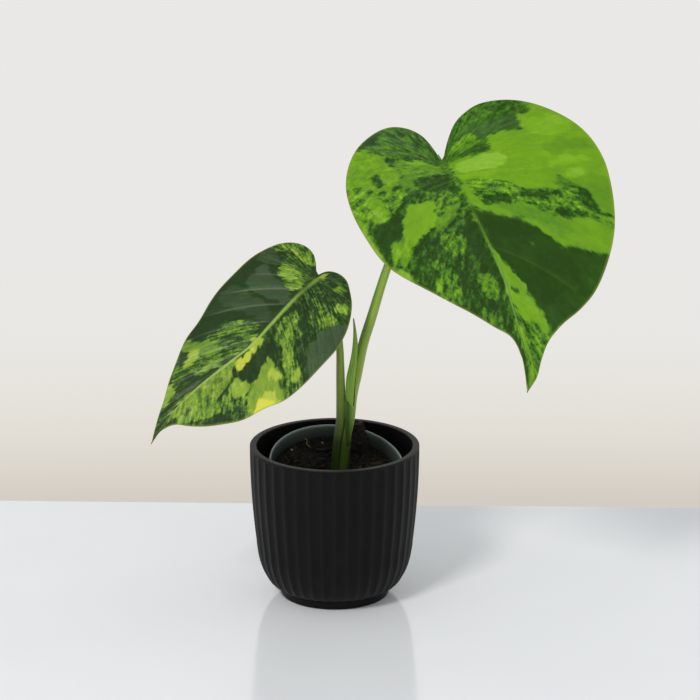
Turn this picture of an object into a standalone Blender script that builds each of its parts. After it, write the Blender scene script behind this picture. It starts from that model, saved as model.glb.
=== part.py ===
"""Young variegated monstera with two leaves, in its nursery pot inside a fluted black pot.

Metres, +Z up. The origin is the centre of the outer pot's underside, and the plant
leans over the front, -Y. Lengths below are in millimetres times MM.
"""

import math
import random
from dataclasses import dataclass

import bmesh
import bpy
from mathutils import Matrix, Vector

MM = 0.001
GAP = 0.3 * MM
WELD = 0.00001

# Outer pot, turned about the Z axis
POT_HEIGHT = 105 * MM
POT_RADIUS = 57 * MM
POT_WALL = 4.5 * MM
LIP_HEIGHT = 3.5 * MM
POT_NARROWING = 4.2 * MM
BELLY_HEIGHT = 36 * MM
LEDGE_HEIGHT = 7 * MM
LEDGE_RADIUS = 40 * MM
BELLY_ROUNDNESS = 1.62
FOOT_RADIUS = 36.7 * MM
FOOT_CHAMFER = 0.8 * MM
FLOOR_HEIGHT = 8 * MM
FLOOR_RADIUS = 28 * MM
FLUTES = 40
FLUTE_DEPTH = 0.9 * MM
FLUTE_TOP = 100.5 * MM
FLUTE_FADE = 3 * MM
SAMPLES_PER_FLUTE = 3

# Nursery pot, leaning forward in the outer pot
NURSERY_HEIGHT = 80 * MM
NURSERY_RIM_RADIUS = 45.5 * MM
NURSERY_BAND_RADIUS = 43.4 * MM
NURSERY_BAND_HEIGHT = 69 * MM
NURSERY_BASE_RADIUS = 31 * MM
NURSERY_WALL = 0.9 * MM
NURSERY_CHAMFER = 1 * MM
NURSERY_RIM_CENTRE = Vector((1.6, -5.6, 93.65)) * MM
NURSERY_LEAN = math.radians(16.8)
NURSERY_LEAN_TOWARDS = math.radians(-74)
DRAIN_HOLES = 6
DRAIN_RADIUS = 3 * MM
DRAIN_CIRCLE = 22 * MM

# Soil, measured in the nursery pot's own frame
SOIL_DEPTH_BELOW_RIM = 10.5 * MM
SOIL_RINGS = 13
SOIL_SEGMENTS = 60
CRUMBS = 150
CRUMB_SEED = 11

# The bark heap at the back of the soil, right of the stems
HEAP_PLACE = Vector((13, 33)) * MM
HEAP_RADIUS = 9 * MM
HEAP_RISE = 19 * MM

# Blades
BLADE_THICKNESS = 0.8 * MM
MIDRIB_THICKNESS = 2.0 * MM
MIDRIB_SHARE = 0.02
MIDRIB_TAPER = 0.7
BLADE_ROWS = 32
BLADE_COLUMNS = 7
FOLD_SOFTNESS = 6 * MM
LOBE_SHARE = 0.43
VEIN_BEND = 0.12
RIPPLE_WAVES = 5


@dataclass
class Leaf:
    """One blade: where it hangs, how it bends and its outline laid flat.

    Flat points are (across, along) in millimetres from the junction with the petiole,
    along the midrib and to the right of it.
    """

    junction: Vector
    heading: float
    slope: float
    roll: float
    droop: float
    fold: float
    cup: float
    ripple: float
    midrib: list
    right_edge: list
    left_edge: list


LARGE_LEAF = Leaf(
    junction=Vector((71.8, 5.0, 297.0)) * MM,
    heading=math.radians(-60.5),
    slope=math.radians(33.4),
    roll=math.radians(-5.7),
    droop=3.0,
    fold=math.radians(16),
    cup=1.0,
    ripple=0.8 * MM,
    midrib=[(0, 0), (3, 20), (3, 60), (3.5, 90), (2, 110), (0, 135), (-2, 155), (-8, 170)],
    right_edge=[
        (0, -4), (4, -7.5), (11.3, -17), (19.2, -27), (29, -34), (43, -38), (58, -34.5),
        (72, -27), (84, -16), (93, -2), (98, 14), (99.5, 32), (97.5, 47), (92, 65),
        (83, 85), (71, 103), (57, 118), (43, 127), (29, 133), (17, 141), (9, 151),
        (2, 162), (-8, 170),
    ],
    left_edge=[
        (0, -4), (-0.3, -12), (-0.6, -21), (-3, -30), (-9.5, -36.5), (-20, -38.7), (-32, -35.3),
        (-46, -27), (-59.5, -16.5), (-70.5, -4.5), (-79, 9), (-84, 23), (-86, 38), (-84, 54),
        (-79, 70), (-69, 83), (-50, 98.3), (-31.5, 111.5), (-17, 124), (-7, 132.5),
        (-4, 145), (-5.5, 158), (-8, 170),
    ],
)

SMALL_LEAF = Leaf(
    junction=Vector((-12.5, 0.0, 220.1)) * MM,
    heading=math.radians(-141.1),
    slope=math.radians(33),
    roll=math.radians(17.2),
    droop=2.0,
    fold=math.radians(5),
    cup=0.8,
    ripple=0.6 * MM,
    midrib=[
        (0, 0), (-2, 17), (-2.4, 40), (-3, 60), (-7, 77), (-12, 94), (-16.5, 112),
        (-19, 132), (-18.5, 154),
    ],
    right_edge=[
        (-1, -4.2), (1, -8.2), (5, -11), (12, -12), (20, -10), (28.5, -4), (37, 3.5),
        (44, 13), (49, 24), (52, 37), (52, 52), (50, 68), (46, 84), (38, 95.5),
        (30, 108), (20, 117), (9, 125), (-3, 131), (-11.4, 134.5), (-16.4, 140),
        (-18.5, 146.5), (-18.5, 154),
    ],
    left_edge=[
        (-1, -4.2), (-4.6, -6), (-9.4, -10.7), (-16, -15.3), (-25, -17), (-34, -14.7), (-41.2, -8.7),
        (-46, 1), (-49.5, 12), (-51, 24), (-51, 38), (-49.5, 53), (-47, 68), (-45.5, 82),
        (-41, 97), (-36, 112), (-30, 125), (-25.7, 137), (-22.5, 145), (-18.5, 154),
    ],
)

# Petioles and the rolled new leaf: x, y, z and radius, from the soil upwards
LARGE_PETIOLE = [
    (5.2, -2.0, 70, 2.9), (5.5, -2.0, 87, 3.1), (7.3, -2.0, 108, 3.2), (10.0, -1.8, 122, 3.35),
    (12.0, -1.2, 140, 3.4), (14.9, -0.8, 154, 3.4), (19.1, 0.0, 175, 3.35), (24.5, 0.6, 193, 3.3),
    (35.2, 2.4, 228, 2.8), (47.0, 4.6, 256, 2.5), (60.3, 7.2, 279, 2.35),
]
SMALL_PETIOLE = [
    (2.6, 2.5, 70, 5.4), (3.5, 2.5, 87, 6.1), (5.3, 2.4, 108, 6.0), (5.4, 1.9, 116, 5.0),
    (5.0, 1.3, 124, 4.0), (4.4, 0.8, 136, 3.3), (4.0, 0.5, 152, 2.9), (3.4, 0.8, 175, 2.4),
    (1.0, 1.8, 191, 2.1), (-4.5, 3.4, 206, 2.0),
]
NEW_LEAF = [
    (11.2, -3.3, 126, 1.1), (10.7, -3.6, 137, 1.7), (10.5, -4.0, 145, 2.6), (10.5, -4.0, 153, 3.2),
    (12.2, -4.0, 164, 2.6), (13.4, -4.0, 175, 2.1), (13.6, -4.0, 182, 1.5), (13.4, -4.0, 189, 0.95),
    (12.6, -4.0, 194, 0.4),
]
PETIOLE_TOP_RADIUS = 2.2
PETIOLE_TOP_LENGTH = 5.0
STEM_STEP = 6


def make_material(name, colour, roughness):
    """A plain Principled material from an 8-bit sRGB colour."""
    material = bpy.data.materials.new(name)
    material.use_nodes = True
    shader = material.node_tree.nodes["Principled BSDF"]
    linear = [(c / 255 / 12.92) if c < 11 else ((c / 255 + 0.055) / 1.055) ** 2.4 for c in colour]
    shader.inputs["Base Color"].default_value = (*linear, 1)
    shader.inputs["Roughness"].default_value = roughness
    shader.inputs["Metallic"].default_value = 0
    return material


def add_object(name, mesh, collection, material=None):
    """Put a mesh into the scene as a named, smoothly shaded object."""
    thing = bpy.data.objects.new(name, mesh)
    collection.objects.link(thing)
    if material:
        mesh.materials.append(material)
    for face in mesh.polygons:
        face.use_smooth = True
    return thing


def mesh_from_bmesh(name, bm):
    """Turn a bmesh into mesh data and free it."""
    mesh = bpy.data.meshes.new(name)
    bm.to_mesh(mesh)
    bm.free()
    return mesh


def baked_mesh(thing):
    """The mesh of an object with its modifiers applied."""
    bpy.context.view_layer.update()
    evaluated = thing.evaluated_get(bpy.context.evaluated_depsgraph_get())
    return bpy.data.meshes.new_from_object(evaluated)


def turned_object(name, profile, segments, collection, material):
    """Turn a (radius, height) profile about Z with a Screw modifier."""
    mesh = bpy.data.meshes.new(name)
    points = [(radius, 0, height) for radius, height in profile]
    edges = [(i, i + 1) for i in range(len(points) - 1)]
    mesh.from_pydata(points, edges, [])
    thing = add_object(name, mesh, collection, material)
    screw = thing.modifiers.new("Turn", "SCREW")
    screw.axis = "Z"
    screw.steps = segments
    screw.render_steps = segments
    screw.use_merge_vertices = True
    screw.merge_threshold = WELD
    screw.use_smooth_shade = True
    return thing


def smooth_route(points, pieces):
    """Catmull-Rom curve through tuples of any length, cut into equal steps per piece."""
    padded = [points[0], *points, points[-1]]
    route = []
    for before, start, end, after in zip(padded, padded[1:], padded[2:], padded[3:]):
        for step in range(pieces):
            t = step / pieces
            route.append(tuple(
                0.5 * (2 * b + (c - a) * t + (2 * a - 5 * b + 4 * c - d) * t * t
                       + (3 * b - 3 * c + d - a) * t * t * t)
                for a, b, c, d in zip(before, start, end, after)
            ))
    route.append(tuple(points[-1]))
    return route


def route_lengths(route):
    """Lengths of a route's pieces, by its first three coordinates."""
    return [math.dist(a[:3], b[:3]) for a, b in zip(route, route[1:])]


def walk(route, share):
    """The point at a share (0 to 1) of a route's length."""
    lengths = route_lengths(route)
    left = share * sum(lengths)
    for start, end, length in zip(route, route[1:], lengths):
        if left <= length:
            t = left / length if length else 0
            return tuple(a + (b - a) * t for a, b in zip(start, end))
        left -= length
    return route[-1]


def side_radius(z):
    """Radius over the ridges of the outer pot at a height."""
    if z >= BELLY_HEIGHT:
        fall = (POT_HEIGHT - LIP_HEIGHT - z) / (POT_HEIGHT - LIP_HEIGHT - BELLY_HEIGHT)
        return POT_RADIUS - POT_NARROWING * fall ** 2
    drop = (BELLY_HEIGHT - z) / (BELLY_HEIGHT - LEDGE_HEIGHT)
    inset = (1 - min(drop, 1) ** BELLY_ROUNDNESS) ** (1 / BELLY_ROUNDNESS)
    return LEDGE_RADIUS + (POT_RADIUS - POT_NARROWING - LEDGE_RADIUS) * inset


def cavity_radius(z):
    """Radius of the outer pot's inside at a height."""
    if z >= BELLY_HEIGHT:
        return side_radius(z) - POT_WALL
    drop = (BELLY_HEIGHT - z) / (BELLY_HEIGHT - FLOOR_HEIGHT)
    widest = POT_RADIUS - POT_NARROWING - POT_WALL
    return FLOOR_RADIUS + (widest - FLOOR_RADIUS) * math.sqrt(1 - min(drop, 1) ** 2)


def flute_factor(radius, z):
    """How deep the flutes are cut at a point of the pot's skin, 0 to 1."""
    outside = radius > (side_radius(z) + cavity_radius(z)) / 2
    if not outside or z > FLUTE_TOP or z < LEDGE_HEIGHT - WELD or radius < LEDGE_RADIUS - WELD:
        return 0.0
    return min(1.0, (FLUTE_TOP - z) / FLUTE_FADE)


def build_outer_pot(collection, material):
    """Ceramic pot: turned body with a round lip and a foot, then 40 shallow flutes."""
    shoulder = POT_HEIGHT - LIP_HEIGHT
    inner_heights = [8.6 * MM, 11 * MM, 15 * MM, 20 * MM, 25 * MM, 30 * MM, 36 * MM, 65 * MM]
    outer_heights = [
        FLUTE_TOP, 97.5 * MM, 80 * MM, 60 * MM, 46 * MM, 36 * MM,
        28 * MM, 21 * MM, 15 * MM, 11 * MM, 8.5 * MM, LEDGE_HEIGHT,
    ]
    profile = [(0, FLOOR_HEIGHT), (FLOOR_RADIUS, FLOOR_HEIGHT)]
    profile += [(cavity_radius(z), z) for z in inner_heights]
    for degrees in (180, 150, 120, 90, 60, 30, 0):
        angle = math.radians(degrees)
        radius = POT_RADIUS - POT_WALL / 2 * (1 - math.cos(angle))
        profile.append((radius, shoulder + LIP_HEIGHT * math.sin(angle)))
    profile += [(side_radius(z), z) for z in outer_heights]
    profile += [
        (FOOT_RADIUS, LEDGE_HEIGHT), (FOOT_RADIUS, FOOT_CHAMFER),
        (FOOT_RADIUS - FOOT_CHAMFER, 0), (0, 0),
    ]
    pot = turned_object("outer_pot", profile, FLUTES * SAMPLES_PER_FLUTE, collection, material)
    mesh = baked_mesh(pot)
    pot.modifiers.clear()
    pot.data = mesh
    for vertex in mesh.vertices:
        radius = vertex.co.xy.length
        factor = flute_factor(radius, vertex.co.z)
        if factor:
            turn = math.atan2(vertex.co.y, vertex.co.x) / math.tau * FLUTES
            across = 2 * (turn % 1.0) - 1
            cut = FLUTE_DEPTH * factor * (1 - across ** 2)
            vertex.co.xy *= (radius - cut) / radius
    mesh.set_sharp_from_angle(angle=math.radians(50))
    return pot


def nursery_frame():
    """Matrix from the nursery pot's own frame, base at zero, to the world."""
    lean_axis = Vector((-math.sin(NURSERY_LEAN_TOWARDS), math.cos(NURSERY_LEAN_TOWARDS), 0))
    turn = Matrix.Rotation(NURSERY_LEAN, 4, lean_axis)
    base = NURSERY_RIM_CENTRE - turn @ Vector((0, 0, NURSERY_HEIGHT))
    return Matrix.Translation(base) @ turn


def nursery_radius(z):
    """Outside radius of the nursery pot's tapered wall at a height above its base."""
    rise = (z - NURSERY_CHAMFER) / (NURSERY_BAND_HEIGHT - NURSERY_CHAMFER)
    return NURSERY_BASE_RADIUS + (NURSERY_BAND_RADIUS - NURSERY_BASE_RADIUS) * max(rise, 0)


def build_nursery_pot(collection, cutters, material):
    """Thin plastic pot: an open turned skin given a wall, with drain holes in its base."""
    profile = [
        (NURSERY_RIM_RADIUS, NURSERY_HEIGHT),
        (NURSERY_RIM_RADIUS - 0.4 * MM, NURSERY_BAND_HEIGHT + 1.5 * MM),
        (NURSERY_BAND_RADIUS, NURSERY_BAND_HEIGHT),
        (nursery_radius(35 * MM), 35 * MM),
        (NURSERY_BASE_RADIUS, NURSERY_CHAMFER),
        (NURSERY_BASE_RADIUS - NURSERY_CHAMFER, 0),
        (0, 0),
    ]
    pot = turned_object("nursery_pot", profile, 64, collection, material)
    pot.matrix_world = nursery_frame()
    wall = pot.modifiers.new("Wall", "SOLIDIFY")
    wall.thickness = NURSERY_WALL
    wall.offset = -1

    bm = bmesh.new()
    for i in range(DRAIN_HOLES):
        angle = math.tau * i / DRAIN_HOLES
        place = Matrix.Translation((DRAIN_CIRCLE * math.cos(angle), DRAIN_CIRCLE * math.sin(angle), 0))
        bmesh.ops.create_cone(
            bm, cap_ends=True, segments=12, radius1=DRAIN_RADIUS, radius2=DRAIN_RADIUS,
            depth=10 * MM, matrix=place,
        )
    drill = add_object("drain_cutter", mesh_from_bmesh("drain_cutter", bm), cutters)
    drill.matrix_world = nursery_frame()
    cut = pot.modifiers.new("Drain holes", "BOOLEAN")
    cut.operation = "DIFFERENCE"
    cut.object = drill
    return pot


def build_soil(collection, material):
    """Potting mix filling the nursery pot, with a crumbly top and a bark heap at the back."""
    top = NURSERY_HEIGHT - SOIL_DEPTH_BELOW_RIM
    bottom = NURSERY_WALL + GAP
    side_gap = NURSERY_WALL + GAP + 0.05 * MM
    edge = nursery_radius(top - 2 * MM) - side_gap
    profile = [(edge * i / SOIL_RINGS, top) for i in range(SOIL_RINGS + 1)]
    profile += [(nursery_radius(30 * MM) - side_gap, 30 * MM)]
    profile += [(nursery_radius(2 * MM) - side_gap, 2 * MM)]
    profile += [(nursery_radius(2 * MM) - side_gap - NURSERY_CHAMFER, bottom), (0, bottom)]
    soil = turned_object("soil", profile, SOIL_SEGMENTS, collection, material)
    mesh = baked_mesh(soil)
    soil.modifiers.clear()
    soil.data = mesh

    draw = random.Random(CRUMB_SEED)
    crumbs = []
    for _ in range(CRUMBS):
        angle = draw.uniform(0, math.tau)
        reach = edge * math.sqrt(draw.random())
        place = Vector((reach * math.cos(angle), reach * math.sin(angle)))
        crumbs.append((place, draw.uniform(2.2, 4.5) * MM, draw.uniform(-0.8, 2.2) * MM))
    for vertex in mesh.vertices:
        if vertex.co.z < top - WELD:
            continue
        rise = 0.0
        for place, size, height in crumbs:
            near = 1 - (vertex.co.xy - place).length / size
            if near > 0:
                rise += height * near * (2 - near)
        from_heap = (vertex.co.xy - HEAP_PLACE).length / HEAP_RADIUS
        rise = min(rise, 3 * MM) + HEAP_RISE * max(0.0, 1 - from_heap ** 2)
        at_edge = vertex.co.xy.length > edge - WELD
        vertex.co.z += min(rise, MM) if at_edge else rise
    soil.matrix_world = nursery_frame()
    mesh.set_sharp_from_angle(angle=math.radians(35))
    return soil


def build_tube(name, route, collection, material=None, extra=0.0):
    """A round stem of changing radius through (x, y, z, radius) points in millimetres.

    With extra, the stem is that much thicker all round and longer at both ends.
    """
    points = smooth_route(route, 3)
    count = round(sum(route_lengths(points)) / STEM_STEP)
    points = [walk(points, i / count) for i in range(count + 1)]
    places = [Vector(point[:3]) * MM for point in points]
    radii = [point[3] * MM + extra for point in points]
    places[0] += (places[0] - places[1]).normalized() * extra
    places[-1] += (places[-1] - places[-2]).normalized() * extra

    curve = bpy.data.curves.new(name, "CURVE")
    curve.dimensions = "3D"
    curve.bevel_depth = MM
    curve.bevel_resolution = 4
    curve.use_fill_caps = True
    spline = curve.splines.new("POLY")
    spline.points.add(len(places) - 1)
    for point, place, radius in zip(spline.points, places, radii):
        point.co = (*place, 1)
        point.radius = radius / MM
    guide = bpy.data.objects.new(name + "_curve", curve)
    collection.objects.link(guide)

    mesh = baked_mesh(guide)
    bpy.data.objects.remove(guide)
    bm = bmesh.new()
    bm.from_mesh(mesh)
    bmesh.ops.remove_doubles(bm, verts=bm.verts, dist=WELD)
    bmesh.ops.recalc_face_normals(bm, faces=bm.faces)
    bm.to_mesh(mesh)
    bm.free()
    return add_object(name, mesh, collection, material)


def cut_away(thing, cutter):
    """Cut a neighbour's shape, grown by the gap, out of an object."""
    cut = thing.modifiers.new("Clear " + cutter.name, "BOOLEAN")
    cut.operation = "DIFFERENCE"
    cut.solver = "EXACT"
    cut.object = cutter


def leaf_axes(leaf):
    """Unit vectors along the midrib, across it to the right, and out of the upper face."""
    ahead = Vector((math.cos(leaf.heading), math.sin(leaf.heading), 0))
    along = ahead * math.cos(leaf.slope) - Vector((0, 0, math.sin(leaf.slope)))
    level_up = ahead * math.sin(leaf.slope) + Vector((0, 0, math.cos(leaf.slope)))
    level_across = level_up.cross(along)
    up = level_up * math.cos(leaf.roll) + level_across * math.sin(leaf.roll)
    return along, up.cross(along), up


def leaf_point(leaf, across, along, lift):
    """World place of a flat leaf point, in metres, on the drooping, folded blade."""
    axis_along, axis_across, axis_up = leaf_axes(leaf)
    bend = leaf.droop * along
    middle = leaf.junction + axis_along * (math.sin(bend) / leaf.droop)
    middle -= axis_up * ((1 - math.cos(bend)) / leaf.droop)
    up = axis_up * math.cos(bend) + axis_along * math.sin(bend)
    fold = math.tan(leaf.fold) * (math.hypot(across, FOLD_SOFTNESS) - FOLD_SOFTNESS)
    return middle + axis_across * across + up * (fold - leaf.cup * across ** 2 + lift)


def petiole_top(leaf):
    """The last points of a petiole, turned square to the underside of its blade."""
    up = leaf_axes(leaf)[2]
    seat = (leaf.junction - up * (MIDRIB_THICKNESS + 2 * GAP)) / MM
    below = seat - up * PETIOLE_TOP_LENGTH
    return [(*below, PETIOLE_TOP_RADIUS), (*seat, PETIOLE_TOP_RADIUS)]


def vein_point(start, end, share, spread):
    """A point on a side vein, which leaves the midrib and bends towards the tip."""
    length = math.dist(start, end)
    turn = Vector(((start[0] + end[0]) / 2, (start[1] + end[1]) / 2 - VEIN_BEND * length * spread))
    a = Vector(start).lerp(turn, share)
    b = turn.lerp(Vector(end), share)
    return a.lerp(b, share)


def build_blade(name, leaf, collection, material):
    """A leaf blade: a sheet from midrib to waved margin, thickened along the midrib."""
    midrib = smooth_route(leaf.midrib, 6)
    edges = {1: smooth_route(leaf.right_edge, 6), -1: smooth_route(leaf.left_edge, 6)}
    bm = bmesh.new()
    bmesh.ops.create_grid(bm, x_segments=2 * BLADE_COLUMNS, y_segments=BLADE_ROWS, size=1)
    weights = bm.verts.layers.deform.verify()
    for vertex in bm.verts:
        side = 1 if vertex.co.x > 0 else -1
        column = round(abs(vertex.co.x) * BLADE_COLUMNS)
        out = MIDRIB_SHARE + (1 - MIDRIB_SHARE) * (column - 1) / (BLADE_COLUMNS - 1) if column else 0
        down = (vertex.co.y + 1) / 2
        along_rib = max(0.0, (down - LOBE_SHARE) / (1 - LOBE_SHARE))
        start = walk(midrib, along_rib)
        end = walk(edges[side], down)
        spread = min(1.0, down / LOBE_SHARE)
        across, along = vein_point(start, end, out, spread) * MM
        wave = math.sin(math.tau * RIPPLE_WAVES * down + side)
        lift = leaf.ripple * wave * out ** 2 * math.sin(math.pi * down)
        vertex.co = leaf_point(leaf, across, along, lift)
        vertex[weights][0] = 0 if column else 1 - MIDRIB_TAPER * along_rib
    bmesh.ops.remove_doubles(bm, verts=bm.verts, dist=WELD)
    bmesh.ops.triangulate(bm, faces=bm.faces)
    bmesh.ops.reverse_faces(bm, faces=bm.faces)
    blade = add_object(name, mesh_from_bmesh(name, bm), collection, material)
    blade.vertex_groups.new(name="midrib")
    body = blade.modifiers.new("Body", "SOLIDIFY")
    body.thickness = MIDRIB_THICKNESS
    body.offset = -1
    body.vertex_group = "midrib"
    body.thickness_vertex_group = BLADE_THICKNESS / MIDRIB_THICKNESS
    return blade


def build_plant(collection, cutters, materials):
    """Two petioles, the rolled new leaf between them and the two blades.

    Returns the petioles' cutters, which leave their hole in the soil.
    """
    large_route = LARGE_PETIOLE + petiole_top(LARGE_LEAF)
    small_route = SMALL_PETIOLE + petiole_top(SMALL_LEAF)
    build_tube("new_leaf_spear", NEW_LEAF, collection, materials["spear"])
    large = build_tube("petiole_large_leaf", large_route, collection, materials["petiole"])
    small = build_tube("petiole_small_leaf", small_route, collection, materials["petiole"])
    new_leaf_cutter = build_tube("new_leaf_cutter", NEW_LEAF, cutters, extra=GAP)
    large_cutter = build_tube("large_petiole_cutter", large_route, cutters, extra=GAP)
    small_cutter = build_tube("small_petiole_cutter", small_route, cutters, extra=GAP)
    cut_away(large, new_leaf_cutter)
    cut_away(small, new_leaf_cutter)
    cut_away(small, large_cutter)
    build_blade("leaf_large", LARGE_LEAF, collection, materials["blade"])
    build_blade("leaf_small", SMALL_LEAF, collection, materials["blade"])
    return large_cutter, small_cutter


def build():
    """Clear the scene and build the potted plant."""
    for thing in list(bpy.data.objects):
        bpy.data.objects.remove(thing)
    parts = bpy.data.collections.new("Potted monstera")
    cutters = bpy.data.collections.new("Cutters")
    for collection in (parts, cutters):
        bpy.context.scene.collection.children.link(collection)

    materials = {
        "pot": make_material("Matte black ceramic", (27, 27, 28), 0.55),
        "nursery": make_material("Grey green plastic", (88, 100, 98), 0.45),
        "soil": make_material("Damp potting mix", (52, 40, 31), 0.95),
        "petiole": make_material("Green petiole", (112, 152, 50), 0.45),
        "spear": make_material("Rolled new leaf", (118, 150, 66), 0.5),
        "blade": make_material("Variegated leaf", (84, 140, 32), 0.4),
    }
    build_outer_pot(parts, materials["pot"])
    build_nursery_pot(parts, cutters, materials["nursery"])
    soil = build_soil(parts, materials["soil"])
    for cutter in build_plant(parts, cutters, materials):
        cut_away(soil, cutter)
    for cutter in cutters.objects:
        cutter.hide_render = True
        cutter.display_type = "WIRE"


build()
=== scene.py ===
"""Looks of a young variegated monstera in its fluted black pot, on a pale table."""

import math
import random
from types import SimpleNamespace

import bpy
import numpy as np
from mathutils import Matrix, Vector, bvhtree, noise


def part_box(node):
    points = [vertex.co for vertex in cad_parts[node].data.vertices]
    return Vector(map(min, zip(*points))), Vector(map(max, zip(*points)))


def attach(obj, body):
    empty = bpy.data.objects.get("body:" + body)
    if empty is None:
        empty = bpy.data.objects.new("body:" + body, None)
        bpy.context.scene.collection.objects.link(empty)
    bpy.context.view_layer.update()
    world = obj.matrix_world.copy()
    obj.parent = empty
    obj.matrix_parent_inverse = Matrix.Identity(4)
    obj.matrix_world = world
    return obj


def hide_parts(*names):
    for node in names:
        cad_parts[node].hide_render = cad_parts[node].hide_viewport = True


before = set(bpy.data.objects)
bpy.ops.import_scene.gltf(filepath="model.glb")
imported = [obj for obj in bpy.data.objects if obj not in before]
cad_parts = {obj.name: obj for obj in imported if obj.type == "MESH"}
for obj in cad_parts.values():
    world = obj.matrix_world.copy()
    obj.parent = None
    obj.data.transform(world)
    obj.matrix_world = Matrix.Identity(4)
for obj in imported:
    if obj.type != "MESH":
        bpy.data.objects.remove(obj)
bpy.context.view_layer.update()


# Outer pot
# A slip-cast stoneware cover pot, pressed into 40 shallow upright flutes between a plain
# round lip and a plain foot ring. A dry matte black glaze covers it all, and the ridges are
# painted a little paler as a painted highlight. It is turned here from its foot up, over the lip and down
# inside.

MM = 0.001
POT_LOW, POT_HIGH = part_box("outer_pot")
POT_HEIGHT = POT_HIGH.z
POT_RADIUS = POT_HIGH.x
POT_WALL = 4.5 * MM
LIP_HEIGHT = 1 * MM
LIP_SQUARENESS = 4
POT_NARROWING = 4.2 * MM
BELLY_HEIGHT = 36 * MM
BELLY_ROUNDNESS = 1.62
LEDGE_HEIGHT = 7 * MM
LEDGE_RADIUS = 40 * MM
FOOT_RADIUS = 36.7 * MM
FOOT_RECESS_RADIUS = 30 * MM
FOOT_RECESS = 0.8 * MM
FLOOR_HEIGHT = 8 * MM
FLOOR_RADIUS = 28 * MM
FLUTES = 40
FLUTE_DEPTH = 0.9 * MM
FLUTE_TOP = 103.9 * MM
FLUTE_FADE = 1 * MM
LIP_LINE = 104.6 * MM
SAMPLES_PER_FLUTE = 8


def linear(hex_colour):
    """Linear RGBA of an sRGB hex colour such as 1b1b1a."""
    parts = [int(hex_colour[i:i + 2], 16) / 255 for i in (0, 2, 4)]
    return (*[p / 12.92 if p <= 0.04045 else ((p + 0.055) / 1.055) ** 2.4 for p in parts], 1)


def new_material(name, **settings):
    """A material with one Principled shader, given its constant settings by socket name."""
    material = bpy.data.materials.new(name)
    material.use_nodes = True
    shader = material.node_tree.nodes["Principled BSDF"]
    for socket, value in settings.items():
        shader.inputs[socket.replace("_", " ")].default_value = value
    return material


def add(material, kind, inputs=None, stops=None, **settings):
    """Add a node; each input takes a value or another node's output, and stops fill a ramp."""
    made = material.node_tree.nodes.new(kind)
    for key, value in settings.items():
        setattr(made, key, value)
    for key, value in (inputs or {}).items():
        if isinstance(value, bpy.types.NodeSocket):
            material.node_tree.links.new(value, made.inputs[key])
        else:
            made.inputs[key].default_value = value
    for index, (position, colour) in enumerate(stops or []):
        elements = made.color_ramp.elements
        stop = elements[index] if index < 2 else elements.new(position)
        stop.position = position
        stop.color = colour if isinstance(colour, tuple) else linear(colour)
    return made


def drive(material, socket, output):
    """Link an output to a socket of the material's Principled shader."""
    shader = material.node_tree.nodes["Principled BSDF"]
    material.node_tree.links.new(output, shader.inputs[socket])


def edit(piece, *steps):
    """Run edit mode steps on the whole of one piece."""
    bpy.ops.object.select_all(action="DESELECT")
    piece.select_set(True)
    bpy.context.view_layer.objects.active = piece
    bpy.ops.object.mode_set(mode="EDIT")
    bpy.ops.mesh.select_all(action="SELECT")
    for step in steps:
        step()
    bpy.ops.object.mode_set(mode="OBJECT")


def outward():
    """Turn the selected faces outwards."""
    bpy.ops.mesh.normals_make_consistent(inside=False)


def lathe(name, rings, segments):
    """Turn a closed body: a filled circle extruded through rings of (radius, height)."""
    radius, height = rings[0]
    bpy.ops.object.select_all(action="DESELECT")
    bpy.ops.mesh.primitive_circle_add(
        vertices=segments, radius=radius, fill_type="NGON", location=(0, 0, height)
    )
    piece = bpy.context.object
    piece.name = name
    bpy.ops.object.transform_apply(location=True)

    def raise_rings():
        last_radius, last_height = rings[0]
        for next_radius, next_height in rings[1:]:
            rise = (0, 0, next_height - last_height)
            bpy.ops.mesh.extrude_region_move(TRANSFORM_OT_translate={"value": rise})
            factor = next_radius / last_radius
            centre = (0, 0, next_height)
            bpy.ops.transform.resize(value=(factor, factor, 1), center_override=centre)
            last_radius, last_height = next_radius, next_height

    edit(piece, raise_rings)
    edit(piece, outward)
    return piece


def get_places(piece):
    """The piece's vertices as an array of x, y, z rows."""
    places = np.zeros(len(piece.data.vertices) * 3)
    piece.data.vertices.foreach_get("co", places)
    return places.reshape(-1, 3)


def set_places(piece, places):
    """Move the piece's vertices to the rows of an array."""
    piece.data.vertices.foreach_set("co", places.ravel())
    piece.data.update()


def finish_piece(piece, node, material, sharp=math.radians(50)):
    """Shade a finished piece and hand it over to the body in place of its plain solid."""
    piece.data.materials.clear()
    piece.data.materials.append(material)
    bpy.ops.object.select_all(action="DESELECT")
    piece.select_set(True)
    bpy.context.view_layer.objects.active = piece
    bpy.ops.object.shade_smooth_by_angle(angle=sharp)
    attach(piece, "root")
    if node:
        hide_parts(node)


def side_radius(z):
    """Radius over the ridges of the pot above its belly, at a height."""
    fall = (POT_HEIGHT - LIP_HEIGHT - z) / (POT_HEIGHT - LIP_HEIGHT - BELLY_HEIGHT)
    return POT_RADIUS - POT_NARROWING * fall ** 2


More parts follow.
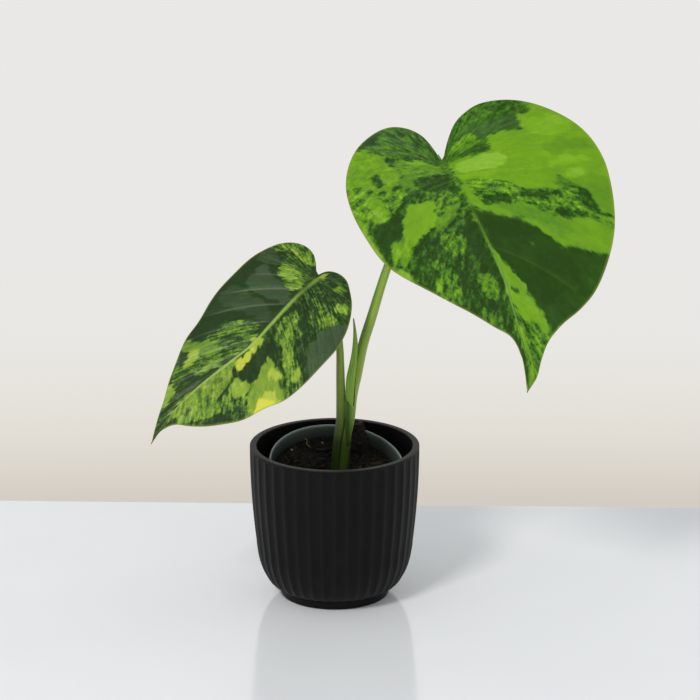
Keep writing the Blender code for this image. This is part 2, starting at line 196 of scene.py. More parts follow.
def build_outer_pot():
    shoulder = POT_HEIGHT - LIP_HEIGHT
    widest = POT_RADIUS - POT_NARROWING
    rings = [
        (FOOT_RECESS_RADIUS - 2 * MM, FOOT_RECESS), (FOOT_RECESS_RADIUS, FOOT_RECESS * 0.7),
        (FOOT_RECESS_RADIUS + MM, 0), (FOOT_RADIUS - MM, 0), (FOOT_RADIUS - 0.3 * MM, 0.3 * MM),
        (FOOT_RADIUS, MM), (FOOT_RADIUS, LEDGE_HEIGHT - 0.6 * MM),
        (FOOT_RADIUS + 0.6 * MM, LEDGE_HEIGHT),
    ]
    side_start = len(rings)
    for step in range(25):
        angle = math.pi / 2 * (1 - step / 24)
        inset = math.cos(angle) ** (2 / BELLY_ROUNDNESS)
        drop = math.sin(angle) ** (2 / BELLY_ROUNDNESS)
        height = BELLY_HEIGHT - (BELLY_HEIGHT - LEDGE_HEIGHT) * drop
        rings.append((LEDGE_RADIUS + (widest - LEDGE_RADIUS) * inset, height))
    fade_start = FLUTE_TOP - FLUTE_FADE
    for height in np.linspace(BELLY_HEIGHT, fade_start, 16)[1:]:
        rings.append((side_radius(height), height))
    for height in np.linspace(fade_start, FLUTE_TOP, 6)[1:]:
        rings.append((side_radius(height), height))
    side_end = len(rings)
    rings.append((POT_RADIUS, shoulder))
    for step in range(1, 17):
        angle = math.pi * step / 16
        reach = math.copysign(abs(math.cos(angle)) ** (2 / LIP_SQUARENESS), math.cos(angle))
        rings.append((
            POT_RADIUS - POT_WALL / 2 * (1 - reach),
            shoulder + LIP_HEIGHT * math.sin(angle) ** (2 / LIP_SQUARENESS),
        ))
    for height in np.linspace(shoulder, BELLY_HEIGHT, 12)[1:]:
        rings.append((side_radius(height) - POT_WALL, height))
    for step in range(1, 15):
        angle = math.pi / 2 * step / 14
        reach = widest - POT_WALL - FLOOR_RADIUS
        rings.append((
            FLOOR_RADIUS + reach * math.cos(angle),
            BELLY_HEIGHT - (BELLY_HEIGHT - FLOOR_HEIGHT) * math.sin(angle),
        ))
    segments = FLUTES * SAMPLES_PER_FLUTE
    pot = lathe("outer_pot_glazed", rings, segments)

    places = get_places(pot)
    ring = np.arange(len(places)) // segments
    radius = np.hypot(places[:, 0], places[:, 1])
    turn = np.arctan2(places[:, 1], places[:, 0]) / math.tau * FLUTES
    across = 2 * (turn % 1) - 1
    factor = np.clip((FLUTE_TOP - places[:, 2]) / FLUTE_FADE, 0, 1)
    factor[(ring < side_start) | (ring >= side_end)] = 0
    cut = FLUTE_DEPTH * factor * (1 - np.abs(across) ** 2)
    places[:, :2] *= ((radius - cut) / radius)[:, None]
    set_places(pot, places)
    # Painted highlight: this ridge mask makes the flute ridges paler in the glaze
    ridge = pot.data.attributes.new("ridge", "FLOAT", "POINT")
    ridge.data.foreach_set("value", factor * np.abs(across) ** 6)
    # Painted highlight: this lip mask marks a pale line round the top of the lip
    lip = pot.data.attributes.new("lip", "FLOAT", "POINT")
    lip.data.foreach_set("value", np.clip((places[:, 2] - LIP_LINE) / (0.2 * MM), 0, 1))
    return pot


def matte_black_glaze():
    """Dry black glaze: very dark, hardly shiny, with fine pits, and painted highlights on the ridges and the
    lip.
    """
    glaze = new_material("Matte black glaze", Roughness=0.5, Specular_IOR_Level=0.12)
    spot = add(glaze, "ShaderNodeTexCoord").outputs["Object"]
    ridge = add(glaze, "ShaderNodeAttribute", attribute_name="ridge").outputs["Fac"]
    cloud = add(glaze, "ShaderNodeTexNoise", {"Vector": spot, "Scale": 60.0, "Detail": 3.0})
    pits = add(glaze, "ShaderNodeTexNoise", {"Vector": spot, "Scale": 1400.0, "Detail": 2.0})
    body = add(
        glaze, "ShaderNodeValToRGB", {"Fac": cloud.outputs["Fac"]},
        stops=[(0.3, "080807"), (0.7, "0c0c0c")],
    )
    # Painted highlight: the ridges are mixed towards a paler black where light catches them
    ridges_highlighted = add(
        glaze, "ShaderNodeMix", {"Factor": ridge, "A": body.outputs["Color"], "B": linear("121211")},
        data_type="RGBA",
    )
    # Painted highlight: the top of the lip is painted paler, where light catches it
    lip = add(glaze, "ShaderNodeAttribute", attribute_name="lip").outputs["Fac"]
    lip_highlighted = add(
        glaze, "ShaderNodeMix", {"Factor": lip, "A": ridges_highlighted.outputs["Result"], "B": linear("252522")},
        data_type="RGBA",
    )
    drive(glaze, "Base Color", lip_highlighted.outputs["Result"])
    bump = add(
        glaze, "ShaderNodeBump", {"Height": pits.outputs["Fac"], "Strength": 0.12, "Distance": 0.0002}
    )
    drive(glaze, "Normal", bump.outputs["Normal"])
    return glaze


finish_piece(build_outer_pot(), "outer_pot", matte_black_glaze())


# Nursery pot
# A thin thermoformed polypropylene grow pot in dark grey green, satin, with a flared band
# and a rolled rim. It leans forward inside the outer pot, as the plant does.

NURSERY_HEIGHT = 80 * MM
NURSERY_RIM_RADIUS = 45.5 * MM
NURSERY_BAND_RADIUS = 43.4 * MM
NURSERY_BAND_HEIGHT = 69 * MM
NURSERY_BASE_RADIUS = 31 * MM
NURSERY_WALL = 0.9 * MM
NURSERY_CHAMFER = 1 * MM
NURSERY_RIM_CENTRE = Vector((1.6, -5.6, 93.65)) * MM
NURSERY_LEAN = math.radians(16.8)
NURSERY_LEAN_TOWARDS = math.radians(-74)
DRAIN_HOLES = 6
DRAIN_RADIUS = 3 * MM
DRAIN_CIRCLE = 22 * MM

lean_axis = Vector((-math.sin(NURSERY_LEAN_TOWARDS), math.cos(NURSERY_LEAN_TOWARDS), 0))
lean = Matrix.Rotation(NURSERY_LEAN, 4, lean_axis)
nursery_base = NURSERY_RIM_CENTRE - lean @ Vector((0, 0, NURSERY_HEIGHT))
NURSERY_FRAME = Matrix.Translation(nursery_base) @ lean


def nursery_radius(z):
    """Outside radius of the nursery pot's tapered wall at a height above its base."""
    rise = (z - NURSERY_CHAMFER) / (NURSERY_BAND_HEIGHT - NURSERY_CHAMFER)
    return NURSERY_BASE_RADIUS + (NURSERY_BAND_RADIUS - NURSERY_BASE_RADIUS) * max(rise, 0)


def apply_modifiers(piece):
    """Apply every modifier of a piece in turn."""
    bpy.ops.object.select_all(action="DESELECT")
    piece.select_set(True)
    bpy.context.view_layer.objects.active = piece
    for modifier in list(piece.modifiers):
        bpy.ops.object.modifier_apply(modifier=modifier.name)


def cut_away(piece, cutter):
    """Cut one piece's shape out of another and delete the cutter."""
    cut = piece.modifiers.new("Cut", "BOOLEAN")
    cut.operation = "DIFFERENCE"
    cut.object = cutter
    apply_modifiers(piece)
    bpy.data.objects.remove(cutter)


def build_nursery_pot():
    bead = 0.55 * MM
    inside = NURSERY_WALL
    rings = [
        (2 * MM, 0), (NURSERY_BASE_RADIUS - NURSERY_CHAMFER, 0),
        (NURSERY_BASE_RADIUS, NURSERY_CHAMFER),
        (nursery_radius(35 * MM), 35 * MM), (NURSERY_BAND_RADIUS, NURSERY_BAND_HEIGHT),
        (NURSERY_RIM_RADIUS - 0.6 * MM, NURSERY_BAND_HEIGHT + 1.2 * MM),
        (NURSERY_RIM_RADIUS - 0.4 * MM, NURSERY_BAND_HEIGHT + 2.2 * MM),
        (NURSERY_RIM_RADIUS - 0.3 * MM, NURSERY_HEIGHT - 3 * bead),
    ]
    for step in range(9):
        angle = math.pi * step / 8
        rings.append((
            NURSERY_RIM_RADIUS - bead + bead * math.cos(angle),
            NURSERY_HEIGHT - bead + bead * math.sin(angle),
        ))
    rings += [
        (NURSERY_RIM_RADIUS - 0.3 * MM - inside, NURSERY_HEIGHT - 3 * bead),
        (NURSERY_RIM_RADIUS - 0.5 * MM - inside, NURSERY_BAND_HEIGHT + 2.2 * MM),
        (NURSERY_BAND_RADIUS - inside, NURSERY_BAND_HEIGHT),
        (nursery_radius(35 * MM) - inside, 35 * MM),
        (NURSERY_BASE_RADIUS - inside, NURSERY_CHAMFER + inside),
        (NURSERY_BASE_RADIUS - NURSERY_CHAMFER, inside), (2 * MM, inside),
    ]
    pot = lathe("nursery_pot_moulded", rings, 160)
    for hole in range(DRAIN_HOLES):
        angle = math.tau * hole / DRAIN_HOLES
        place = (DRAIN_CIRCLE * math.cos(angle), DRAIN_CIRCLE * math.sin(angle), 0)
        bpy.ops.object.select_all(action="DESELECT")
        bpy.ops.mesh.primitive_cylinder_add(
            vertices=24, radius=DRAIN_RADIUS, depth=10 * MM, location=place
        )
        cut_away(pot, bpy.context.object)
    rise = pot.data.attributes.new("rise", "FLOAT", "POINT")
    rise.data.foreach_set("value", get_places(pot)[:, 2] / NURSERY_HEIGHT)
    pot.data.transform(NURSERY_FRAME)
    return pot


def grey_green_plastic():
    """Thin moulded polypropylene: satin, clouded, with painted shade darkening it low down and a painted
    highlight on its rim.
    """
    plastic = new_material(
        "Grey green polypropylene", Roughness=0.42, IOR=1.49, Specular_IOR_Level=0.5
    )
    spot = add(plastic, "ShaderNodeTexCoord").outputs["Object"]
    cloud = add(plastic, "ShaderNodeTexNoise", {"Vector": spot, "Scale": 45.0, "Detail": 4.0})
    tint = add(
        plastic, "ShaderNodeValToRGB", {"Fac": cloud.outputs["Fac"]},
        stops=[(0.3, (0.9, 0.9, 0.9, 1)), (0.7, (1.1, 1.1, 1.1, 1))],
    )
    rise = add(plastic, "ShaderNodeAttribute", attribute_name="rise").outputs["Fac"]
    # Painted shade darkens the wall low down inside the outer pot, and a painted highlight lightens the
    # rolled rim
    painted_shade_and_rim_highlight = add(
        plastic, "ShaderNodeValToRGB", {"Fac": rise},
        stops=[(0.86, "262b2a"), (0.93, "3a4240"), (0.98, "555f5c"), (0.986, "87918e")],
    )
    clouded = add(
        plastic, "ShaderNodeMix",
        {"Factor": 1.0, "A": painted_shade_and_rim_highlight.outputs["Color"], "B": tint.outputs["Color"]},
        data_type="RGBA", blend_type="MULTIPLY",
    )
    drive(plastic, "Base Color", clouded.outputs["Result"])
    scuffs = add(plastic, "ShaderNodeTexNoise", {"Vector": spot, "Scale": 900.0, "Detail": 2.0})
    bump = add(
        plastic, "ShaderNodeBump",
        {"Height": scuffs.outputs["Fac"], "Strength": 0.08, "Distance": 0.0002},
    )
    drive(plastic, "Normal", bump.outputs["Normal"])
    return plastic


finish_piece(build_nursery_pot(), "nursery_pot", grey_green_plastic())


# Petioles and the rolled new leaf
# Two fleshy green leaf stems. The older one's base is a sheath that clasps the other stem,
# with thin pale edges, and a new leaf, rolled up tight with a dry brown tip, rises between
# them. Each is a sheet rolled into a tube round its own route, from the soil upwards.

GAP = 0.3 * MM
WELD = 0.00001
MIDRIB_THICKNESS = 2.0 * MM
PETIOLE_TOP_RADIUS = 2.2
PETIOLE_TOP_LENGTH = 5.0
TUBE_STEP = 1.2
LARGE_PETIOLE = [
    (5.2, -2.0, 70, 2.9), (5.5, -2.0, 87, 3.1), (7.3, -2.0, 108, 3.2), (10.0, -1.8, 122, 3.35),
    (12.0, -1.2, 140, 3.4), (14.9, -0.8, 154, 3.4), (19.1, 0.0, 175, 3.35), (24.5, 0.6, 193, 3.3),
    (35.2, 2.4, 228, 2.8), (47.0, 4.6, 256, 2.5), (60.3, 7.2, 279, 2.35),
]
SMALL_PETIOLE = [
    (2.6, 2.5, 70, 5.4), (3.5, 2.5, 87, 6.1), (5.3, 2.4, 108, 6.0), (5.4, 1.9, 116, 5.0),
    (5.0, 1.3, 124, 4.0), (4.4, 0.8, 136, 3.3), (4.0, 0.5, 152, 2.9), (3.4, 0.8, 175, 2.4),
    (1.0, 1.8, 191, 2.1), (-4.5, 3.4, 206, 2.0),
]
NEW_LEAF = [
    (9.2, -4.2, 116, 1.3), (9.5, -4.3, 121, 1.8), (9.8, -4.2, 128, 2.3), (10.1, -4.1, 138, 2.75),
    (10.4, -4.0, 145, 3.0), (10.9, -4.0, 153, 3.0), (12.0, -4.0, 160, 2.65), (13.0, -4.0, 167, 2.2),
    (13.7, -4.0, 175, 1.8), (13.7, -4.0, 181, 1.35), (13.4, -4.0, 187, 0.9), (12.6, -4.0, 195, 0.35),
]
YOUNG_SHEATH = [
    (8.6, -4.0, 104, 0.9), (9.0, -4.2, 112, 1.7), (9.5, -4.3, 120, 2.25), (9.8, -4.2, 128, 2.75),
    (10.1, -4.1, 136, 3.15), (10.3, -4.1, 143, 3.3),
]
YOUNG_SHEATH_MOUTH = (10.1, -4.1, 136.5)

LARGE_LEAF = SimpleNamespace(
    junction=np.array((71.8, 5.0, 297.0)) * MM,
    heading=math.radians(-60.5),
    slope=math.radians(33.4),
    roll=math.radians(-5.7),
    droop=3.0,
    fold=math.radians(16),
    cup=1.0,
    ripple=0.8 * MM,
    midrib=[(0, 0), (3, 20), (3, 60), (3.5, 90), (2, 110), (0, 135), (-2, 155), (-8, 170)],
    right_edge=[
        (0, -4), (4, -7.5), (11.3, -17), (19.2, -27), (29, -34), (43, -38), (58, -34.5),
        (72, -27), (84, -16), (93, -2), (98, 14), (99.5, 32), (97.5, 47), (92, 65),
        (83, 85), (71, 103), (57, 118), (43, 127), (29, 133), (17, 141), (9, 151),
        (2, 162), (-8, 170),
    ],
    left_edge=[
        (0, -4), (-0.3, -12), (-0.6, -21), (-3, -30), (-9.5, -36.5), (-20, -38.7), (-32, -35.3),
        (-46, -27), (-59.5, -16.5), (-70.5, -4.5), (-79, 9), (-84, 23), (-86, 38), (-84, 54),
        (-79, 70), (-69, 83), (-50, 98.3), (-31.5, 111.5), (-17, 124), (-7, 132.5),
        (-4, 145), (-5.5, 158), (-8, 170),
    ],
)
SMALL_LEAF = SimpleNamespace(
    junction=np.array((-12.5, 0.0, 220.1)) * MM,
    heading=math.radians(-141.1),
    slope=math.radians(33),
    roll=math.radians(17.2),
    droop=2.0,
    fold=math.radians(5),
    cup=0.8,
    ripple=0.6 * MM,
    midrib=[
        (0, 0), (-2, 17), (-2.4, 40), (-3, 60), (-7, 77), (-12, 94), (-16.5, 112),
        (-19, 132), (-18.5, 154),
    ],
    right_edge=[
        (-1, -4.2), (1, -8.2), (5, -11), (12, -12), (20, -10), (28.5, -4), (37, 3.5),
        (44, 13), (49, 24), (52, 37), (52, 52), (50, 68), (46, 84), (38, 95.5),
        (30, 108), (20, 117), (9, 125), (-3, 131), (-11.4, 134.5), (-16.4, 140),
        (-18.5, 146.5), (-18.5, 154),
    ],
    left_edge=[
        (-1, -4.2), (-4.6, -6), (-9.4, -10.7), (-16, -15.3), (-25, -17), (-34, -14.7),
        (-41.2, -8.7), (-46, 1), (-49.5, 12), (-51, 24), (-51, 38), (-49.5, 53), (-47, 68),
        (-45.5, 82), (-41, 97), (-36, 112), (-30, 125), (-25.7, 137), (-22.5, 145), (-18.5, 154),
    ],
)


def smooth_route(points, pieces, closed=False):
    """Catmull-Rom curve through points of any width, as rows of an array."""
    if closed:
        padded = [points[-1], *points, points[0], points[1]]
    else:
        padded = [points[0], *points, points[-1]]
    rows = []
    for before, start, end, after in zip(padded, padded[1:], padded[2:], padded[3:]):
        a, b, c, d = (np.array(p, float) for p in (before, start, end, after))
        for t in np.arange(pieces) / pieces:
            rows.append(0.5 * (2 * b + (c - a) * t + (2 * a - 5 * b + 4 * c - d) * t * t
                               + (3 * b - 3 * c + d - a) * t ** 3))
    if not closed:
        rows.append(np.array(points[-1], float))
    return np.array(rows)


def walk(route, shares, width=3):
    """Points at shares (0 to 1) of a route's length, measured on its first columns."""
    steps = np.linalg.norm(np.diff(route[:, :width], axis=0), axis=1)
    reached = np.concatenate([[0], np.cumsum(steps)])
    columns = [np.interp(shares * reached[-1], reached, column) for column in route.T]
    return np.stack(columns, axis=-1)


def sheet(name, columns, rows, place):
    """A grid sheet whose points go where place(across, along) says, both from 0 to 1."""
    bpy.ops.object.select_all(action="DESELECT")
    bpy.ops.mesh.primitive_grid_add(x_subdivisions=columns, y_subdivisions=rows, size=1)
    piece = bpy.context.object
    piece.name = name
    spots = get_places(piece)
    set_places(piece, place(spots[:, 0] + 0.5, spots[:, 1] + 0.5))
    return piece


def weld():
    """Merge the selected points that meet."""
    bpy.ops.mesh.remove_doubles(threshold=WELD)


def leaf_axes(leaf):
    """Unit vectors along the midrib, across it to the right, and out of the upper face."""
    ahead = np.array((math.cos(leaf.heading), math.sin(leaf.heading), 0))
    upright = np.array((0, 0, 1))
    along = ahead * math.cos(leaf.slope) - upright * math.sin(leaf.slope)
    level_up = ahead * math.sin(leaf.slope) + upright * math.cos(leaf.slope)
    level_across = np.cross(level_up, along)
    up = level_up * math.cos(leaf.roll) + level_across * math.sin(leaf.roll)
    return along, np.cross(up, along), up


def petiole_top(leaf):
    """The last points of a petiole, turned square to the underside of its blade."""
    up = leaf_axes(leaf)[2]
    seat = (leaf.junction - up * (MIDRIB_THICKNESS - 2 * GAP)) / MM
    below = seat - up * PETIOLE_TOP_LENGTH
    return [(*below, PETIOLE_TOP_RADIUS), (*seat, PETIOLE_TOP_RADIUS * 1.1)]


def round_section(turn, rise):
    """A plain round stem section."""
    return np.ones_like(turn)


def channelled_section(turn, rise):
    """Round, with a shallow channel between two low edges on the plant's inner side."""
    off = (turn - 0.83 + 0.5) % 1 - 0.5
    return 1 - 0.13 * np.exp(-(off / 0.055) ** 2) + 0.03 * np.exp(-((np.abs(off) - 0.1) / 0.03) ** 2)


def sheath_section(turn, rise):
    """Round above, ribbed lengthwise, with a flatter front down in the sheath."""
    ribs = 0.012 * np.cos(math.tau * 9 * turn)
    off = (turn - 0.06 + 0.5) % 1 - 0.5
    return 1 + ribs - 0.08 * np.exp(-(off / 0.06) ** 2)


def rolled_section(turn, rise):
    """A rolled blade: a step where its outer edge ends, wandering round as it rises."""
    off = (turn - 0.05 - 0.35 * rise) % 1
    return 0.93 + 0.13 * off


def tube(name, route, section, around=32, extra=0.0):
    """A closed stem round (x, y, z, radius) points in millimetres.

    Section gives the radius as a share, by turn (0 faces the front, rising towards the
    right) and by rise (0 to 1 along the stem). With extra, it is that much larger all round.
    """
    points = smooth_route(route, 6)
    length = np.linalg.norm(np.diff(points[:, :3], axis=0), axis=1).sum()
    rows = round(length / TUBE_STEP)

    def place(across, along):
        core = walk(points, along)
        ahead = walk(points, np.minimum(along + 0.01, 1))[:, :3]
        behind = walk(points, np.maximum(along - 0.01, 0))[:, :3]
        tangent = ahead - behind
        tangent /= np.linalg.norm(tangent, axis=1)[:, None]
        front = np.array((0, -1, 0)) + tangent * tangent[:, 1:2]
        front /= np.linalg.norm(front, axis=1)[:, None]
        left = np.cross(front, tangent)
        turn = across * math.tau
        end_room = np.minimum(along, 1 - along) * length
        rounding = np.sqrt(np.clip(1 - (1 - np.clip(end_room / 1.5, 0, 1)) ** 2, 0, 1))
        radius = (core[:, 3] * section(across, along) * rounding + extra / MM * (rounding > 0)) * MM
        ring = front * np.cos(turn)[:, None] - left * np.sin(turn)[:, None]
        stretch = tangent * (extra * np.sign(along - 0.5) * (end_room < 0.01))[:, None]
        return core[:, :3] * MM + ring * radius[:, None] + stretch

    stem = sheet(name, around, rows, place)
    edit(stem, weld, outward)
    return stem


def stem_tissue(name, wraps, painted_shade_colour):
    """Fresh petiole skin: waxy, striped lengthwise, with painted shade darkening it down by the soil.

    Wraps are its greens round the stem, from the front on by the right.
    """
    skin = new_material(name, Roughness=0.38, IOR=1.45, Specular_IOR_Level=0.4)
    skin.node_tree.nodes["Principled BSDF"].inputs["Subsurface Weight"].default_value = 0.12
    skin.node_tree.nodes["Principled BSDF"].inputs["Subsurface Radius"].default_value = (
        0.0008, 0.0012, 0.0003
    )
    wrap = add(skin, "ShaderNodeUVMap", uv_map="UVMap").outputs["UV"]
    parts = add(skin, "ShaderNodeSeparateXYZ", {"Vector": wrap})
    around = parts.outputs["X"]
    stretched = add(
        skin, "ShaderNodeMapping", {"Vector": wrap, "Scale": (26.0, 5.0, 1.0)}
    )
    stripes = add(
        skin, "ShaderNodeTexNoise",
        {"Vector": stretched.outputs["Vector"], "Scale": 1.0, "Detail": 4.0, "Roughness": 0.6},
    )
    shade = add(skin, "ShaderNodeValToRGB", {"Fac": around}, stops=wraps)
    streak = add(
        skin, "ShaderNodeValToRGB", {"Fac": stripes.outputs["Fac"]},
        stops=[(0.3, (0.62, 0.66, 0.55, 1)), (0.5, (1, 1, 1, 1)), (0.7, (1.25, 1.18, 1.15, 1))],
    )
    striped = add(
        skin, "ShaderNodeMix",
        {"Factor": 1.0, "A": shade.outputs["Color"], "B": streak.outputs["Color"]},
        data_type="RGBA", blend_type="MULTIPLY",
    )
    spot = add(skin, "ShaderNodeTexCoord").outputs["Object"]
    height = add(skin, "ShaderNodeSeparateXYZ", {"Vector": spot}).outputs["Z"]
    # Painted shade: below 134 mm the stem is mixed towards a dark green, for the shade inside the pots
    depth = add(
        skin, "ShaderNodeMapRange",
        {"Value": height, "From Min": 107 * MM, "From Max": 134 * MM, "To Min": 1.0, "To Max": 0.0},
    )
    shaded = add(
        skin, "ShaderNodeMix",
        {"Factor": depth.outputs["Result"], "A": striped.outputs["Result"], "B": linear(painted_shade_colour)},
        data_type="RGBA",
    )
    drive(skin, "Base Color", shaded.outputs["Result"])
    bump = add(
        skin, "ShaderNodeBump",
        {"Height": stripes.outputs["Fac"], "Strength": 0.25, "Distance": 0.0003},
    )
    drive(skin, "Normal", bump.outputs["Normal"])
    return skin


def rolled_leaf_tissue():
    """The new leaf's outside: pale matte green, veined lengthwise, dried brown at its tip."""
    skin = new_material("Rolled new leaf", Roughness=0.5, IOR=1.45, Specular_IOR_Level=0.35)
    wrap = add(skin, "ShaderNodeUVMap", uv_map="UVMap").outputs["UV"]
    stretched = add(skin, "ShaderNodeMapping", {"Vector": wrap, "Scale": (22.0, 3.0, 1.0)})
    veins = add(
        skin, "ShaderNodeTexNoise",
        {"Vector": stretched.outputs["Vector"], "Scale": 1.0, "Detail": 4.0, "Roughness": 0.6},
    )
    tint = add(
        skin, "ShaderNodeValToRGB", {"Fac": veins.outputs["Fac"]},
        stops=[(0.3, "62892b"), (0.55, "8bb042"), (0.75, "a6c860")],
    )
    spot = add(skin, "ShaderNodeTexCoord").outputs["Object"]
    height = add(skin, "ShaderNodeSeparateXYZ", {"Vector": spot}).outputs["Z"]
    tip = add(
        skin, "ShaderNodeMapRange", {"Value": height, "From Min": 184 * MM, "From Max": 191 * MM}
    )
    dried = add(
        skin, "ShaderNodeMix",
        {"Factor": tip.outputs["Result"], "A": tint.outputs["Color"], "B": linear("8a8055")},
        data_type="RGBA",
    )
    drive(skin, "Base Color", dried.outputs["Result"])
    bump = add(
        skin, "ShaderNodeBump",
        {"Height": veins.outputs["Fac"], "Strength": 0.3, "Distance": 0.0003},
    )
    drive(skin, "Normal", bump.outputs["Normal"])
    return skin


large_route = LARGE_PETIOLE + petiole_top(LARGE_LEAF)
small_route = SMALL_PETIOLE + petiole_top(SMALL_LEAF)
large_petiole = tube("petiole_large", large_route, channelled_section)
small_petiole = tube("petiole_small_sheath", small_route, sheath_section, around=40)
new_leaf = tube("new_leaf_rolled", NEW_LEAF, rolled_section)
young_sheath = tube("young_sheath", YOUNG_SHEATH, round_section)
for stem in (large_petiole, small_petiole):
    cut_away(stem, tube("new_leaf_clearance", NEW_LEAF, round_section, extra=GAP))
    cut_away(stem, tube("young_sheath_clearance", YOUNG_SHEATH, round_section, extra=GAP / 3))
cut_away(small_petiole, tube("large_petiole_clearance", large_route, round_section, extra=GAP))
cut_away(young_sheath, tube("new_leaf_clearance", NEW_LEAF, round_section, extra=GAP / 6))
edit(young_sheath, lambda: bpy.ops.mesh.bisect(
    plane_co=Vector(YOUNG_SHEATH_MOUTH) * MM, plane_no=(0.75, -0.2, 0.63), use_fill=True,
    clear_outer=True,
))
# The last colour of each skin is its painted shade down by the soil
petiole_skin = stem_tissue(
    "Petiole skin",
    [(0.0, "8aab3c"), (0.1, "93ac4c"), (0.2, "a8bd6c"), (0.28, "86aa3c"), (0.5, "8cab3e"),
     (0.64, "557a2c"), (0.85, "527724"), (0.93, "7da036"), (1.0, "8aab3c")],
    "3a5016",
)
sheath_skin = stem_tissue(
    "Sheathing petiole skin",
    [(0.0, "86a63a"), (0.08, "93b04c"), (0.2, "98b058"), (0.5, "86a63a"), (0.76, "9aab66"),
     (0.84, "64892c"), (0.9, "80803c"), (0.92, "6f9430"), (0.955, "888344"), (0.975, "7c9c38"),
     (1.0, "86a63a")],
    "2b3d0f",
)
young_skin = stem_tissue(
    "Young sheath skin",
    [(0.0, "4c741e"), (0.1, "7da236"), (0.2, "93b04c"), (0.5, "456b1c"), (0.8, "527a22"),
     (0.9, "3c6216"), (1.0, "436a1a")],
    "2e420f",
)
finish_piece(large_petiole, "petiole_large_leaf", petiole_skin)
finish_piece(small_petiole, "petiole_small_leaf", sheath_skin)
finish_piece(young_sheath, None, young_skin)
finish_piece(new_leaf, "new_leaf_spear", rolled_leaf_tissue())


# Soil
# Damp peat and composted bark fill the nursery pot. The bed is one crumbly body with holes
# for the stems. Loose bark chips, a small heap of bark behind the stems, bits of drying moss, a
# curled root and a few
# grains of perlite lie on it, each sunk a little way in.

SOIL_DEPTH_BELOW_RIM = 10.5 * MM
SOIL_SEGMENTS = 200
SOIL_RINGS = 60
SOIL_BANK = 2 * MM
HEAP_PLACE = Vector((13, 33)) * MM
HEAP_RADIUS = 9 * MM
HEAP_RISE = 19 * MM


def build_soil_bed():
    top = NURSERY_HEIGHT - SOIL_DEPTH_BELOW_RIM
    side_gap = NURSERY_WALL + GAP
    bottom = side_gap
    edge = nursery_radius(top - 2 * MM) - side_gap
    rings = [
        (2 * MM, bottom), (nursery_radius(2 * MM) - side_gap - MM, bottom),
        (nursery_radius(2 * MM) - side_gap, 2 * MM),
        (nursery_radius(30 * MM) - side_gap, 30 * MM),
    ]
    rings += [(edge * (1 - i / SOIL_RINGS), top) for i in range(SOIL_RINGS)]
    bed = lathe("soil_bed", rings, SOIL_SEGMENTS)
    places = get_places(bed)
    for row in places:
        if row[2] < top - WELD:
            continue
        spot = Vector(row) / MM
        reach = math.hypot(spot.x, spot.y) * MM / edge
        lumps = noise.fractal(spot / 9, 1.0, 2.0, 4) * 1.6
        crumbs = 0.9 - noise.voronoi(spot / 3.1)[0][0] * 1.5
        grit = 0.35 - noise.voronoi(spot / 1.3)[0][0] * 0.6
        settle = 1 - max(0.0, reach - 0.93) / 0.07
        heap = max(0.0, 1 - ((Vector(row[:2]) - HEAP_PLACE).length / HEAP_RADIUS) ** 2)
        bank = SOIL_BANK * min(1.0, max(0.0, spot.y / 40)) / MM
        rise = (lumps + crumbs + grit) * settle + 0.4 + bank
        row[2] += rise * MM + HEAP_RISE * heap
    set_places(bed, places)
    bed.data.transform(NURSERY_FRAME)
    return bed


def damp_peat():
    """Damp peat: nearly black crumbs, browner where a crumb stands up and dries."""
    peat = new_material("Damp peat", Roughness=0.92, Specular_IOR_Level=0.25)
    spot = add(peat, "ShaderNodeTexCoord").outputs["Object"]
    grains = add(
        peat, "ShaderNodeTexNoise", {"Vector": spot, "Scale": 420.0, "Detail": 6.0, "Roughness": 0.7}
    )
    tint = add(
        peat, "ShaderNodeValToRGB", {"Fac": grains.outputs["Fac"]},
        stops=[(0.35, "0a0a07"), (0.55, "15130d"), (0.68, "241e15"), (0.8, "3a2e20")],
    )
    drive(peat, "Base Color", tint.outputs["Color"])
    bump = add(
        peat, "ShaderNodeBump",
        {"Height": grains.outputs["Fac"], "Strength": 0.7, "Distance": 0.0008},
    )
    drive(peat, "Normal", bump.outputs["Normal"])
    return peat


soil_bed = build_soil_bed()
for stem_route in (large_route, small_route):
    cut_away(soil_bed, tube("stem_hole", stem_route, round_section, extra=GAP))
finish_piece(soil_bed, "soil", damp_peat(), sharp=math.radians(35))


def chip(name, size, seed):
    """One rough bark chip: a cube subdivided and pushed about."""
    bpy.ops.object.select_all(action="DESELECT")
    bpy.ops.mesh.primitive_cube_add(size=1)
    piece = bpy.context.object
    piece.name = name
    edit(piece, lambda: bpy.ops.mesh.subdivide(number_cuts=1, smoothness=0.5))
    places = get_places(piece)
    for row in places:
        push = noise.noise_vector(Vector(row) * 1.7 + Vector((seed * 7.3, seed, -seed)))
        row += np.array(push) * 0.35
    set_places(piece, places * np.array(size) * MM)
    return piece


